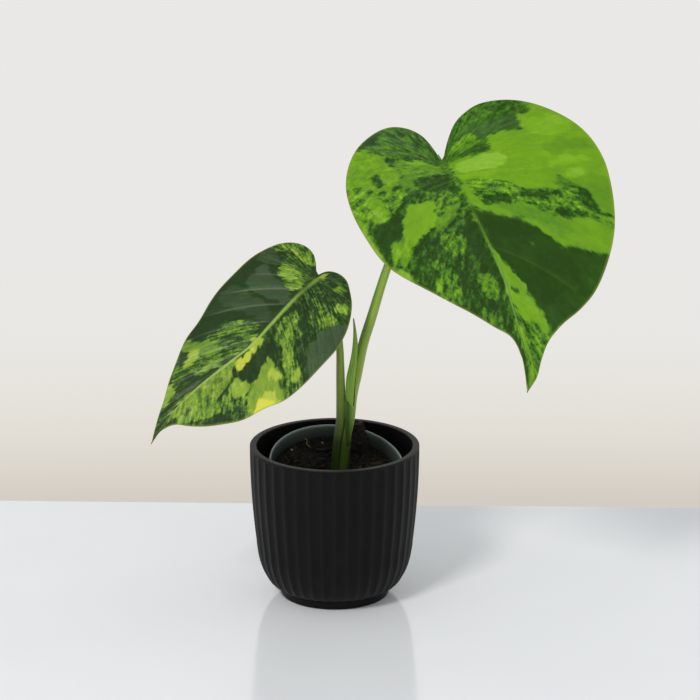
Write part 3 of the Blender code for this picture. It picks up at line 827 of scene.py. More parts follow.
def scatter(name, masters, count, seed, sink, allowed, surface, spots=()):
    """Copies of the masters dropped on the soil where allowed says, joined as one piece.

    With spots, in millimetres across the nursery pot, the copies lie there.
    """
    draw = random.Random(seed)
    copies = []
    while len(copies) < count:
        angle = draw.uniform(0, math.tau)
        reach = 41 * MM * math.sqrt(draw.random())
        spot = Vector((reach * math.cos(angle), reach * math.sin(angle)))
        if spots:
            spot = Vector(spots[len(copies)]) * MM
        pick = draw.choice(masters)
        turn = Matrix.Rotation(draw.uniform(0, math.tau), 4, "Z")
        tip = Matrix.Rotation(draw.gauss(0, 0.45), 4, "X") @ Matrix.Rotation(draw.gauss(0, 0.45), 4, "Y")
        scale = Matrix.Scale(draw.uniform(0.6, 1.35), 4)
        if not allowed(spot, draw):
            continue
        above = NURSERY_FRAME @ Vector((*spot, 120 * MM))
        down = NURSERY_FRAME.to_3x3() @ Vector((0, 0, -1))
        hit, normal, index, distance = surface.ray_cast(above, down)
        if hit is None:
            continue
        tilt = Vector((0, 0, 1)).rotation_difference(normal).to_matrix().to_4x4()
        copy = bpy.data.objects.new(name, pick.data.copy())
        bpy.context.collection.objects.link(copy)
        copy.data.transform(Matrix.Translation(hit - normal * sink) @ tilt @ turn @ tip @ scale)
        copies.append(copy)
    bpy.ops.object.select_all(action="DESELECT")
    for copy in copies:
        copy.select_set(True)
    bpy.context.view_layer.objects.active = copies[0]
    bpy.ops.object.join()
    joined = bpy.context.object
    joined.name = name
    for master in masters:
        bpy.data.objects.remove(master)
    return joined


def clear_of_stems(spot, draw):
    """Off the stems' bases, where they stand in the soil."""
    place = NURSERY_FRAME @ Vector((*spot, NURSERY_HEIGHT - SOIL_DEPTH_BELOW_RIM))
    return math.hypot(place.x - 4.5 * MM, place.y - 1 * MM) > 9.5 * MM


def on_heap(spot, draw):
    """On the bark heap only."""
    return (spot - HEAP_PLACE).length < HEAP_RADIUS * 0.95


def bark(name, dark, light):
    """Composted pine bark: fibrous, matt, in one of its browns."""
    made = new_material(name, Roughness=0.85, Specular_IOR_Level=0.25)
    spot = add(made, "ShaderNodeTexCoord").outputs["Object"]
    grain = add(
        made, "ShaderNodeTexNoise", {"Vector": spot, "Scale": 350.0, "Detail": 5.0, "Roughness": 0.65}
    )
    tint = add(
        made, "ShaderNodeValToRGB", {"Fac": grain.outputs["Fac"]},
        stops=[(0.3, dark), (0.7, light)],
    )
    drive(made, "Base Color", tint.outputs["Color"])
    bump = add(
        made, "ShaderNodeBump", {"Height": grain.outputs["Fac"], "Strength": 0.6, "Distance": 0.0005}
    )
    drive(made, "Normal", bump.outputs["Normal"])
    return made


soil_surface = bvhtree.BVHTree.FromObject(soil_bed, bpy.context.evaluated_depsgraph_get())
chip_sizes = [(3.8, 2.4, 1.4), (2.6, 1.8, 1.2), (5.2, 2.2, 1.1), (2.0, 1.6, 1.3)]
dark_chips = scatter(
    "bark_chips_dark", [chip("chip", size, 3 + i) for i, size in enumerate(chip_sizes)],
    230, 5, 0.2 * MM, clear_of_stems, soil_surface,
)
finish_piece(dark_chips, None, bark("Wet dark bark", "0c0b08", "1f1913"))
warm_chips = scatter(
    "bark_chips_warm", [chip("chip", size, 13 + i) for i, size in enumerate(chip_sizes)],
    22, 9, 0.1 * MM, clear_of_stems, soil_surface,
)
finish_piece(warm_chips, None, bark("Dry warm bark", "1c120c", "3d291b"))
moss_spots = [(-35, 15), (-33, 10), (-30, 17), (-36, 6), (-28, 11), (-25, 6), (-31, 2)]
moss = scatter(
    "moss_crumbs", [chip("chip", (2.4, 2.0, 1.3), 43), chip("chip", (1.8, 1.4, 1.2), 47)],
    len(moss_spots), 21, 0.1 * MM, clear_of_stems, soil_surface, moss_spots,
)
finish_piece(moss, None, bark("Drying moss", "1b1c0f", "383820"))
heap_chips = scatter(
    "bark_heap", [chip("chip", size, 23 + i) for i, size in enumerate(chip_sizes)],
    60, 17, 0.7 * MM, on_heap, soil_surface,
)
finish_piece(heap_chips, None, bark("Heaped bark", "130e0a", "2f2219"))
grains = scatter(
    "perlite_grains", [chip("grain", (1.1, 0.9, 0.8), 31), chip("grain", (0.8, 0.7, 0.6), 37)],
    12, 3, -0.1 * MM, clear_of_stems, soil_surface,
)
perlite = new_material("Perlite", Roughness=0.8, Specular_IOR_Level=0.3)
perlite_spot = add(perlite, "ShaderNodeTexCoord").outputs["Object"]
perlite_cloud = add(perlite, "ShaderNodeTexNoise", {"Vector": perlite_spot, "Scale": 500.0})
perlite_tint = add(
    perlite, "ShaderNodeValToRGB", {"Fac": perlite_cloud.outputs["Fac"]},
    stops=[(0.3, "6e6a5c"), (0.7, "b3ae9c")],
)
drive(perlite, "Base Color", perlite_tint.outputs["Color"])
finish_piece(grains, None, perlite)

# A curled dry root
ROOT_CURL = [
    (-22.5, 29.5, 98.5, 0.3), (-20.5, 28.5, 99.6, 0.45), (-18.7, 27, 98.2, 0.5),
    (-19.3, 26, 96.6, 0.45), (-17.6, 25, 95.2, 0.45), (-15.8, 24, 94.2, 0.3),
]
root_curl = tube("dry_root_curl", ROOT_CURL, round_section, around=10)
finish_piece(root_curl, None, bark("Dry root", "4a3a28", "8a7355"))


# Blades
# The two heart-shaped leaf blades: thin, waxy and slightly puckered between sunken side
# veins, with the veins standing out below. Cells with and without full green make solid
# sectors, and a fleck of both where they mix. Each is a sheet laid along its own veins.

BLADE_THICKNESS = 0.8 * MM
EDGE_THICKNESS = 0.35 * MM
MIDRIB_TAPER = 0.7
FOLD_SOFTNESS = 6 * MM
LOBE_SHARE = 0.43
VEIN_BEND = 0.12
RIPPLE_WAVES = 5
ROWS_PER_VEIN = 23
BLADE_COLUMNS = 76
VEIN_SPACING = 14
VEIN_GROOVE = 0.28 * MM
PUCKER = 0.55 * MM
RIB_RELIEF = 0.3 * MM

# Side veins: share of the midrib's length where each starts, and of the right and the left
# margin's length where it ends
LARGE_LEAF.veins = [
    (0, 0, 0), (0, 0.09, 0.08), (0, 0.18, 0.16), (0, 0.27, 0.25), (0, 0.35, 0.34),
    (0.01, 0.43, 0.43), (0.05, 0.51, 0.52), (0.12, 0.60, 0.60), (0.24, 0.68, 0.68),
    (0.40, 0.775, 0.755), (0.60, 0.872, 0.84), (0.80, 0.94, 0.92), (1, 1, 1),
]
SMALL_LEAF.veins = [
    (0, 0, 0), (0, 0.10, 0.10), (0, 0.20, 0.20), (0, 0.29, 0.30), (0.02, 0.36, 0.40),
    (0.08, 0.43, 0.49), (0.17, 0.49, 0.57), (0.27, 0.55, 0.66), (0.40, 0.64, 0.745),
    (0.55, 0.75, 0.82), (0.70, 0.86, 0.89), (0.85, 0.94, 0.95), (1, 1, 1),
]

# The midrib's pale line: how far right of the fold it shows, and how strong along the rib
LARGE_LEAF.rib_shift = 0.2
LARGE_LEAF.rib_shares = [0, 0.2, 0.3, 0.45, 0.6, 0.85, 1]
LARGE_LEAF.rib_strengths = [0.3, 0.15, 0.35, 0.8, 1, 0.6, 0.3]
SMALL_LEAF.rib_shift = 0.9
SMALL_LEAF.rib_shares = [0, 0.06, 0.16, 0.4, 0.5, 0.65, 0.85, 1]
SMALL_LEAF.rib_strengths = [0.6, 0.3, 0.9, 1, 0.85, 0.8, 0.7, 0.5]

# Markings: tone (0 deep green to 1 pale lime), how much it flecks, how yellow it is (below 0,
# how grey with painted sheen, a painted reflection), and its outline on the blade laid flat, in millimetres
# across and along from the junction. Later ones lie over earlier ones.
LARGE_MARKINGS = [
    (0.28, 0.75, 0, [(-95, -45), (0, -45), (3, 60), (0, 175), (-95, 175)]),
    (0.30, 0.60, 0, [(0, -45), (105, -45), (105, 175), (0, 175), (3, 60)]),
    # left lobe
    (0.33, 0.50, 0, [(-1, -8), (2, -20), (-4, -36), (-20, -42), (-40, -34), (-58, -21), (-48, -16),
                     (-40, -11), (-38, -6), (-26, -4), (-8, -2)]),
    (0.24, 0.45, 0, [(-2, -6), (1, -18), (-3, -30), (-10, -34), (-12, -24), (-9, -12), (-8, -5)]),
    (0.10, 0.30, 0, [(-57, -19), (-41, -32), (-36, -28), (-46, -20)]),
    (0.16, 0.60, 0, [(-41, -5), (-34, -9), (-24, -10), (-12, -9), (-10, -5), (-24, -5)]),
    (0.15, 0.50, 0, [(-33, -31), (-22, -33), (-10, -30), (-20, -28)]),
    (0.70, 0.30, 0, [(-90, 14), (-84, 0), (-66, -14), (-57, -17), (-46, -13), (-40, -9), (-41, -2),
                     (-37, 1), (-36, 6), (-40, 12), (-43, 17), (-52, 19), (-62, 19), (-72, 15)]),
    (0.22, 0.60, 0, [(-61, 11), (-56, 5), (-52, 6), (-54, 13), (-58, 15)]),
    (0.56, 0.45, 0, [(-38, -4), (-24, -5), (-10, -2), (-2, 4), (-6, 9), (-20, 10), (-30, 9),
                     (-37, 6)]),
    (0.80, 0.20, 0, [(-26, -5), (-15, -5), (-13, -2), (-22, 0)]),
    (0.47, 0.15, 0, [(-41, 10), (-30, 8), (-26, 12), (-28, 19), (-39, 18)]),
    (0.58, 0.95, 0, [(-92, 18), (-78, 14), (-62, 20), (-46, 20), (-36, 22), (-36, 30), (-46, 33),
                     (-58, 38), (-72, 44), (-84, 47), (-92, 40)]),
    (0.74, 0.35, 0, [(-75, 21), (-65, 21), (-60, 30), (-62, 40), (-73, 43), (-70, 33)]),
    # left half
    (0.12, 0.40, 0, [(-29, 12), (-18, 10), (-4, 8), (1, 14), (1, 24), (-14, 21), (-26, 21)]),
    (0.14, 0.50, 0, [(-56, 37), (-40, 24), (-32, 20), (-24, 24), (-34, 29), (-44, 34), (-52, 42)]),
    (0.42, 0.90, 0, [(-24, 24), (-8, 22), (-1, 30), (-6, 34), (-16, 38), (-24, 44), (-22, 34)]),
    (0.06, 0.25, 0, [(-60, 41), (-52, 38), (-53, 46), (-57, 54), (-66, 58), (-71, 66), (-78, 64),
                     (-78, 52), (-74, 45), (-66, 43)]),
    (0.79, 0.06, 0, [(-24, 29), (-22, 33), (-25, 39), (-28, 46), (-38, 54), (-45, 57), (-53, 62),
                     (-61, 58), (-57, 53), (-53, 46), (-50, 39), (-42, 32), (-33, 30)]),
    (0.72, 0.40, 0, [(-53, 58), (-62, 55), (-69, 60), (-71, 68), (-66, 74), (-60, 70), (-56, 64)]),
    (0.60, 0.30, 0, [(-4, 33), (-8, 39), (-18, 47), (-29, 51), (-27, 45), (-20, 40), (-12, 34)]),
    (0.14, 0.60, 0, [(-58, 68), (-46, 58), (-36, 53), (-26, 54), (-10, 50), (1, 46), (2, 100),
                     (0, 130), (-12, 131), (-42, 110), (-68, 90), (-62, 78)]),
    (0.42, 0.95, 0, [(-32, 58), (-20, 55), (-12, 57), (-13, 66), (-20, 72), (-30, 70)]),
    (0.44, 0.95, 0, [(-46, 76), (-36, 76), (-32, 88), (-35, 106), (-46, 104), (-50, 92), (-42, 84)]),
    (0.40, 0.85, 0, [(-17, 90), (-6, 87), (-3, 96), (-5, 105), (-14, 104)]),
    (0.34, 0.90, 0, [(-26, 114), (-16, 111), (-8, 120), (-10, 129)]),
    (0.08, 0.20, 0, [(-12, 56), (-2, 44), (1, 60), (0, 84), (-6, 84), (-10, 70)]),
    (0.80, 0.20, 0.05, [(-92, 50), (-83, 45), (-80, 52), (-80, 62), (-77, 70), (-86, 74)]),
    (0.82, 0.30, 0.05, [(-78, 76), (-68, 77), (-64, 83), (-66, 90), (-76, 86)]),
    # right lobe
    (0.27, 0.30, 0, [(2, -4), (12, -22), (20, -34), (43, -44), (78, -30), (76, -20), (70, -16),
                     (63, -20), (61, -14), (62, -8), (57, -7), (45, -10), (36, -8), (34, 0), (18, 0)]),
    (0.30, 0.50, 0, [(12, -20), (22, -36), (43, -44), (78, -30), (70, -19), (58, -23), (44, -25),
                     (30, -24), (18, -16)]),
    # painted sheen: this patch is greyed a little for reflected light
    (0.20, 0.20, -0.05, [(24, -21), (44, -21), (60, -18), (60, -10), (46, -10), (36, -9), (29, -12)]),
    (0.62, 0.55, 0, [(8, -7), (14, -13), (22, -17), (27, -15), (25, -11), (14, -7)]),
    (0.46, 0.30, 0, [(11, -5), (22, -10), (31, -8), (24, -5), (14, -4)]),
    (0.16, 0.25, 0, [(13, -3), (24, -6), (34, -6), (34, -1), (28, 1), (18, -1)]),
    # main lime sector
    (0.70, 0.06, 0, [(4, 1), (18, 0), (33, 1), (35, -9), (45, -10), (58, -7), (62, -9), (61, -16),
                     (63, -20), (70, -17), (76, -23), (90, -20), (105, 0), (112, 30), (108, 60),
                     (98, 84), (86, 80), (79, 68), (80, 55), (77, 47), (66, 46), (57, 44), (50, 41),
                     (43, 40), (37, 35), (33, 30), (22, 25), (14, 19), (6, 17)]),
    (0.90, 0.08, 0, [(7, 4), (16, 2), (30, 3), (40, 8), (34, 16), (20, 14), (8, 11)]),
    (0.78, 0.05, 0, [(6, 12), (20, 14), (36, 18), (50, 23), (60, 27), (46, 24), (30, 20), (8, 16)]),
    (0.80, 0.05, 0, [(61, -17), (70, -14), (80, -12), (88, -8), (91, 2), (84, 6), (74, 5), (62, -3)]),
    (0.82, 0.06, 0, [(62, 27), (70, 23), (80, 24), (92, 30), (84, 31), (72, 29)]),
    (0.84, 0.06, 0, [(70, 36), (77, 33), (82, 36), (80, 41), (72, 40)]),
    (0.60, 0.05, 0, [(66, 12), (76, 9), (92, 14), (96, 24), (84, 20), (70, 20)]),
    (0.58, 0.06, 0, [(72, 42), (84, 42), (92, 44), (98, 50), (92, 74), (82, 70), (79, 55)]),
    (0.42, 0.25, 0, [(60, 40), (66, 36), (72, 43), (79, 50), (72, 50), (64, 46)]),
    # marbled band
    (0.40, 1.00, 0, [(9, 17), (22, 21), (33, 29), (40, 38), (53, 43), (62, 47), (74, 48), (79, 52),
                     (80, 66), (90, 76), (88, 88), (76, 75), (66, 68), (56, 66), (47, 58), (38, 48),
                     (22, 43), (11, 35), (9, 26)]),
    (0.52, 0.90, 0, [(11, 19), (22, 22), (32, 30), (36, 38), (24, 34), (12, 28)]),
    (0.08, 0.35, 0, [(11, 33), (20, 34), (28, 38), (27, 42), (18, 41)]),
    (0.16, 0.60, 0, [(36, 40), (44, 39), (53, 45), (50, 50), (42, 47)]),
    (0.16, 0.60, 0, [(50, 58), (58, 60), (70, 65), (72, 69), (58, 66)]),
    (0.16, 0.50, 0, [(73, 50), (79, 53), (79, 68), (75, 66)]),
    # second lime band
    (0.66, 0.07, 0, [(4, 18), (9, 18), (8, 30), (12, 37), (22, 44), (37, 49), (46, 58), (55, 67),
                     (66, 69), (76, 75), (88, 88), (84, 98), (74, 102), (68, 95), (62, 93), (55, 87),
                     (47, 84), (42, 76), (36, 68), (29, 57), (20, 52), (11, 43), (6, 37), (3, 28)]),
    (0.55, 0.10, 0, [(18, 43), (30, 48), (42, 54), (54, 66), (58, 76), (48, 78), (38, 62), (26, 51)]),
    # dark sector
    (0.04, 0.05, 0, [(3, 38), (8, 42), (20, 52), (29, 57), (38, 69), (43, 78), (47, 84), (56, 88),
                     (62, 92), (68, 95), (74, 101), (70, 116), (52, 132), (36, 138), (24, 140),
                     (20, 134), (18, 120), (15, 108), (10, 90), (5, 76), (4, 60)]),
    (0.10, 0.10, 0, [(48, 86), (60, 92), (72, 100), (66, 116), (52, 112), (50, 98)]),
    (0.11, 0.12, 0, [(24, 118), (44, 112), (66, 112), (52, 132), (30, 138), (21, 132)]),
    (0.26, 0.10, 0, [(24, 69), (26, 70), (29, 76), (27, 75)]),
    # strip beside the midrib, and the tip
    (0.72, 0.10, 0, [(4, 70), (6, 80), (10, 88), (12, 96), (14, 104), (16, 110), (17, 120),
                     (19, 128), (20, 133), (17, 136), (14, 132), (12, 126), (10, 124), (7, 127),
                     (4, 121), (2, 114), (2, 104), (3, 92)]),
    (0.15, 0.40, 0, [(6, 101), (9, 100), (9, 104), (7, 104)]),
    (0.38, 0.85, 0, [(2, 116), (8, 127), (13, 128), (18, 138), (30, 132), (26, 140), (12, 150),
                     (6, 160), (-8, 172), (-8, 150), (-10, 132), (-2, 126)]),
    (0.70, 0.20, 0, [(1, 122), (3, 136), (3, 152), (-1, 164), (-6, 169), (0, 152), (0, 136)]),
    (0.12, 0.20, 0, [(-8, 132), (-2, 130), (-1, 145), (-4, 160), (-8, 168), (-8, 150)]),
]
SMALL_MARKINGS = [
    (0.08, 0.10, 0, [(-60, -25), (-1, -25), (-2, 60), (-19, 132), (-18, 160), (-60, 160)]),
    (0.13, 0.55, 0, [(-1, -25), (60, -25), (60, 160), (-18, 160), (-19, 132), (-2, 60)]),
    # left lobe
    (0.50, 0.90, 0, [(-47, -4), (-40, -15), (-25, -21), (-13, -16), (-8, -9), (-14, -5), (-26, -4),
                     (-31, -7), (-38, -3), (-45, 2)]),
    (0.24, 0.60, 0, [(-32, -5), (-14, -6), (-4, -3), (-3, 8), (-10, 4), (-22, 2), (-30, 4)]),
    (0.55, 0.85, 0, [(-28, 7), (-22, 0), (-14, 1), (-6, 4), (-4, 10), (-8, 16), (-14, 17),
                     (-18, 12), (-25, 11)]),
    (0.70, 0.50, 0, [(-26, 6), (-20, 3), (-14, 6), (-16, 10), (-23, 9)]),
    # painted sheen: these three greyed patches stand in for reflected light
    (0.16, 0.12, -0.09, [(-38, 8), (-30, 12), (-20, 15), (-6, 18), (-6, 26), (-22, 30), (-38, 28)]),
    (0.12, 0.12, -0.05, [(-46, 36), (-30, 32), (-8, 36), (-8, 44), (-24, 46), (-44, 50)]),
    (0.13, 0.20, -0.06, [(-46, -2), (-34, 0), (-30, 6), (-36, 10), (-46, 8)]),
    # left half below
    (0.36, 0.80, 0, [(-30, 70), (-29, 60), (-20, 51), (-8, 48), (-4, 56), (-6, 66), (-12, 80),
                     (-17, 96), (-22, 108), (-28, 116), (-36, 108), (-42, 96), (-44, 84), (-34, 77)]),
    (0.53, 0.20, 0, [(-46, 90), (-37, 80), (-27, 75), (-20, 76), (-21, 84), (-30, 87), (-35, 91)]),
    (0.80, 0.35, 0.08, [(-36, 88), (-31, 86), (-29, 90), (-33, 100), (-36, 97)]),
    (0.10, 0.25, 0, [(-40, 92), (-35, 92), (-35, 101), (-39, 99)]),
    (0.56, 0.55, 0, [(-6, 70), (-10, 82), (-17, 94), (-26, 108), (-28, 106), (-20, 92), (-12, 78)]),
    (0.14, 0.40, 0, [(-28, 104), (-18, 100), (-17, 112), (-20, 122), (-25, 118)]),
    (0.74, 0.30, 0, [(-34, 115), (-27, 116), (-24, 126), (-28, 133), (-34, 128)]),
    (0.20, 0.55, 0, [(-25, 118), (-20, 116), (-19, 136), (-20, 150), (-25, 140)]),
    # right lobe
    (0.70, 0.30, 0.2, [(1, -6), (4, -7), (5, -3), (2, -2)]),
    (0.55, 0.55, 0, [(18, -5), (25, -3), (24, 1), (18, 0)]),
    (0.20, 0.85, 0, [(4, 2), (16, 8), (30, 14), (38, 28), (28, 32), (14, 24), (4, 16)]),
    (0.34, 0.90, 0, [(16, 14), (30, 20), (38, 26), (30, 28), (18, 20)]),
    (0.70, 0.65, 0, [(28, 8), (35, 6), (38, 12), (30, 14)]),
    (0.60, 0.80, 0, [(27, 18), (36, 18), (40, 24), (32, 27)]),
    # painted sheen: this greyed patch stands in for reflected light
    (0.15, 0.15, -0.10, [(38, 22), (48, 18), (56, 30), (56, 62), (46, 60), (36, 44), (34, 30)]),
    # right half
    (0.44, 0.90, 0, [(4, 28), (12, 31), (24, 42), (26, 52), (34, 58), (44, 62), (50, 72), (46, 78),
                     (38, 74), (28, 66), (18, 56), (8, 50), (3, 40)]),
    (0.60, 0.50, 0, [(9, 34), (16, 42), (22, 52), (34, 61), (36, 66), (26, 62), (17, 54), (11, 44)]),
    (0.76, 0.25, 0.05, [(38, 62), (42, 61), (44, 69), (40, 70)]),
    (0.05, 0.25, 0, [(6, 58), (16, 54), (26, 66), (17, 66), (17, 78), (20, 86), (14, 87), (8, 85),
                     (5, 74), (4, 64)]),
    (0.76, 0.15, 0.20, [(-4, 58), (1, 56), (4, 63), (1, 68), (-3, 66)]),
    (0.80, 0.15, 0.62, [(-2, 67), (1, 66), (4, 74), (3, 81), (-1, 82), (-4, 77)]),
    (0.66, 0.18, 0.05, [(14, 64), (22, 67), (30, 69), (35, 76), (44, 80), (54, 84), (44, 98),
                        (34, 108), (26, 100), (19, 87), (17, 76)]),
    (0.88, 0.15, 0.3, [(23, 70), (30, 70), (33, 76), (28, 77)]),
    (0.90, 0.15, 0.35, [(30, 86), (35, 84), (44, 86), (44, 92), (34, 92)]),
    (0.96, 0.10, 0.95, [(33, 91), (38, 89), (44, 90), (42, 98), (35, 103), (32, 96)]),
    (0.60, 0.60, 0.05, [(-6, 76), (-1, 84), (3, 92), (4, 100), (2, 110), (-6, 120), (-12, 128),
                        (-19, 136), (-18, 116), (-12, 96)]),
    (0.34, 1.00, 0, [(4, 92), (20, 94), (30, 106), (20, 118), (8, 110), (4, 102)]),
    (0.76, 0.35, 0.05, [(6, 86), (16, 87), (18, 95), (12, 100), (6, 95)]),
    (0.56, 0.70, 0, [(-6, 108), (8, 109), (10, 116), (0, 126), (-14, 134)]),
    (0.24, 0.80, 0, [(-12, 140), (0, 126), (12, 114), (24, 102), (34, 104), (24, 122), (4, 136)]),
]


def mark_distance(points, outline):
    """Signed distance of flat points to a closed outline, positive inside."""
    start = smooth_route(outline, 4, closed=True)
    edge = np.roll(start, -1, axis=0) - start
    away = points[:, None, :] - start[None]
    length = np.maximum((edge ** 2).sum(axis=1), 1e-9)
    share = np.clip((away * edge).sum(axis=2) / length, 0, 1)
    reach = np.linalg.norm(away - edge * share[..., None], axis=2).min(axis=1)
    end_y = start[:, 1] + edge[:, 1]
    level = points[:, 1:2]
    spans = (start[:, 1] > level) != (end_y > level)
    rise = np.where(np.abs(edge[:, 1]) < 1e-9, 1e-9, edge[:, 1])
    crossing = start[:, 0] + edge[:, 0] * (level - start[:, 1]) / rise
    inside = (spans & (points[:, 0:1] < crossing)).sum(axis=1) % 2 == 1
    return np.where(inside, reach, -reach)


def lay_out(leaf, across, along):
    """Flat places in millimetres of grid points, their share of the way out and of the margin."""
    turn = 2 * across - 1
    out = np.abs(turn) * (0.6 + 0.4 * np.abs(turn))
    phase = along * (len(leaf.veins) - 1)
    shares = np.array(leaf.veins)
    knots = np.arange(len(shares))
    start = walk(smooth_route(leaf.midrib, 6), np.interp(phase, knots, shares[:, 0]), 2)
    right_share = np.interp(phase, knots, shares[:, 1])
    left_share = np.interp(phase, knots, shares[:, 2])
    right = walk(smooth_route(leaf.right_edge, 6), right_share, 2)
    left = walk(smooth_route(leaf.left_edge, 6), left_share, 2)
    is_right = (turn > 0)[:, None]
    end = np.where(is_right, right, left)
    down = np.where(turn > 0, right_share, left_share)
    length = np.linalg.norm(end - start, axis=1)
    bend = VEIN_BEND * length * np.minimum(1, down / LOBE_SHARE)
    middle = (start + end) / 2 - np.stack([np.zeros_like(bend), bend], axis=1)
    share = out[:, None]
    flat = start * (1 - share) ** 2 + middle * 2 * share * (1 - share) + end * share ** 2
    return flat, out, down, phase, length


def leaf_surface(leaf, flat, lift):
    """World places of flat leaf points on the drooping, folded blade."""
    axis_along, axis_across, axis_up = leaf_axes(leaf)
    across, along = flat[:, 0:1] * MM, flat[:, 1:2] * MM
    bend = leaf.droop * along
    middle = leaf.junction + axis_along * (np.sin(bend) / leaf.droop)
    middle = middle - axis_up * ((1 - np.cos(bend)) / leaf.droop)
    up = axis_up * np.cos(bend) + axis_along * np.sin(bend)
    fold = math.tan(leaf.fold) * (np.hypot(across, FOLD_SOFTNESS) - FOLD_SOFTNESS)
    return middle + axis_across * across + up * (fold - leaf.cup * across ** 2 + lift[:, None])


def build_blade(name, leaf, markings, seed):
    """The blade with its veins, its relief and the attributes that its skin reads."""
    rows = ROWS_PER_VEIN * (len(leaf.veins) - 1)
    spots = {}

    def place(across, along):
        flat, out, down, phase, length = lay_out(leaf, across, along)
        ahead = lay_out(leaf, across, np.minimum(along + 0.002, 1))[0]
        behind = lay_out(leaf, across, np.maximum(along - 0.002, 0))[0]
        span = np.linalg.norm(ahead - behind, axis=1) / 0.004 / (len(leaf.veins) - 1)
        from_vein = np.abs(phase - np.round(phase)) * span
        from_rib = out * length
        strength = np.clip(from_rib / 6, 0, 1) * np.clip((1 - out) * 4, 0, 1)
        strength *= np.clip(span / 10 - 0.2, 0, 1)
        vein = np.exp(-(from_vein / 0.9) ** 2) * strength
        side = np.where(across > 0.5, 1, -1)
        ripple = leaf.ripple * np.sin(math.tau * RIPPLE_WAVES * down + side)
        lift = ripple * out ** 2 * np.sin(math.pi * down)
        between = np.sin(math.pi * (phase % 1)) * np.clip(span / 12, 0, 1)
        lift += PUCKER * between * np.sin(math.pi * np.clip(out, 0, 1)) ** 0.7
        lift -= VEIN_GROOVE * vein
        lift += RIB_RELIEF * (np.exp(-(from_rib / 0.9) ** 2) - 0.8 * np.exp(-((from_rib - 2.2) / 1.1) ** 2))
        spots.update(flat=flat, across=across, out=out, vein=vein, from_rib=from_rib, length=length,
                     along=along, phase=phase, edge_room=(1 - out) * length, span=span)
        return leaf_surface(leaf, flat, lift)

    blade = sheet(name, 2 * BLADE_COLUMNS, rows, place)
    flat = spots["flat"]
    side = np.where(spots["across"] > 0.5, 40.0, 0.0)
    grain = np.stack([spots["phase"] * VEIN_SPACING + side, spots["out"] * spots["length"]], axis=1)
    ragged = np.array([
        1.5 * noise.noise(Vector((x / 5, y / 5, seed)))
        + 2.6 * noise.noise(Vector((u / 2.4, v / 9, seed)))
        + 1.0 * noise.noise(Vector((u / 1.1, v / 3.5, seed)))
        for (x, y), (u, v) in zip(flat, grain)
    ])
    marks = np.zeros((len(flat), 3))
    # Below 0, the yellow value here is painted sheen
    for tone, fleck, yellow, outline in markings:
        cover = np.clip((mark_distance(flat, outline) + ragged) / 1.2 + 0.5, 0, 1)[:, None]
        marks = marks * (1 - cover) + np.array((tone, fleck, yellow)) * cover
    colours = np.concatenate([marks, spots["vein"][:, None]], axis=1)
    marking = blade.data.attributes.new("marking", "FLOAT_COLOR", "POINT")
    marking.data.foreach_set("color", colours.ravel())
    rib_share = np.interp(spots["phase"], np.arange(len(leaf.veins)), np.array(leaf.veins)[:, 0])
    off_rib = np.where(side > 0, spots["from_rib"], -spots["from_rib"]) - leaf.rib_shift
    rib_line = np.exp(-(off_rib / (1.7 - 1.1 * rib_share)) ** 2)
    rib_line *= np.interp(rib_share, leaf.rib_shares, leaf.rib_strengths)
    for label, values in (
        ("rib", rib_line), ("edge", np.clip(1.2 - spots["edge_room"] / 0.9, 0, 1)),
    ):
        attribute = blade.data.attributes.new(label, "FLOAT", "POINT")
        attribute.data.foreach_set("value", values)
    loops = np.zeros(len(blade.data.loops), int)
    blade.data.loops.foreach_get("vertex_index", loops)
    for label, layer in (("Flat", flat), ("Grain", grain)):
        uv = blade.data.uv_layers.new(name=label)
        uv.data.foreach_set("uv", layer[loops].ravel())

    rib = (MIDRIB_THICKNESS * (1 - MIDRIB_TAPER * rib_share) - BLADE_THICKNESS)
    thinned = BLADE_THICKNESS - EDGE_THICKNESS
    thick = BLADE_THICKNESS - thinned * np.clip(1 - spots["edge_room"] / 9, 0, 1) ** 2
    thick += np.maximum(rib, 0) * np.exp(-(spots["from_rib"] / 1.6) ** 2)
    thick += 0.35 * MM * spots["vein"]
    group = blade.vertex_groups.new(name="thickness")
    for index, weight in enumerate(thick / MIDRIB_THICKNESS):
        group.add([index], min(weight, 1.0), "REPLACE")
    count = len(flat)
    edit(blade, bpy.ops.mesh.flip_normals)
    body = blade.modifiers.new("Body", "SOLIDIFY")
    body.thickness = MIDRIB_THICKNESS
    body.offset = -1
    body.vertex_group = "thickness"
    apply_modifiers(blade)
    under = blade.data.attributes.new("under", "FLOAT", "POINT")
    under.data.foreach_set("value", (np.arange(len(blade.data.vertices)) >= count).astype(float))
    edit(blade, weld)
    return blade


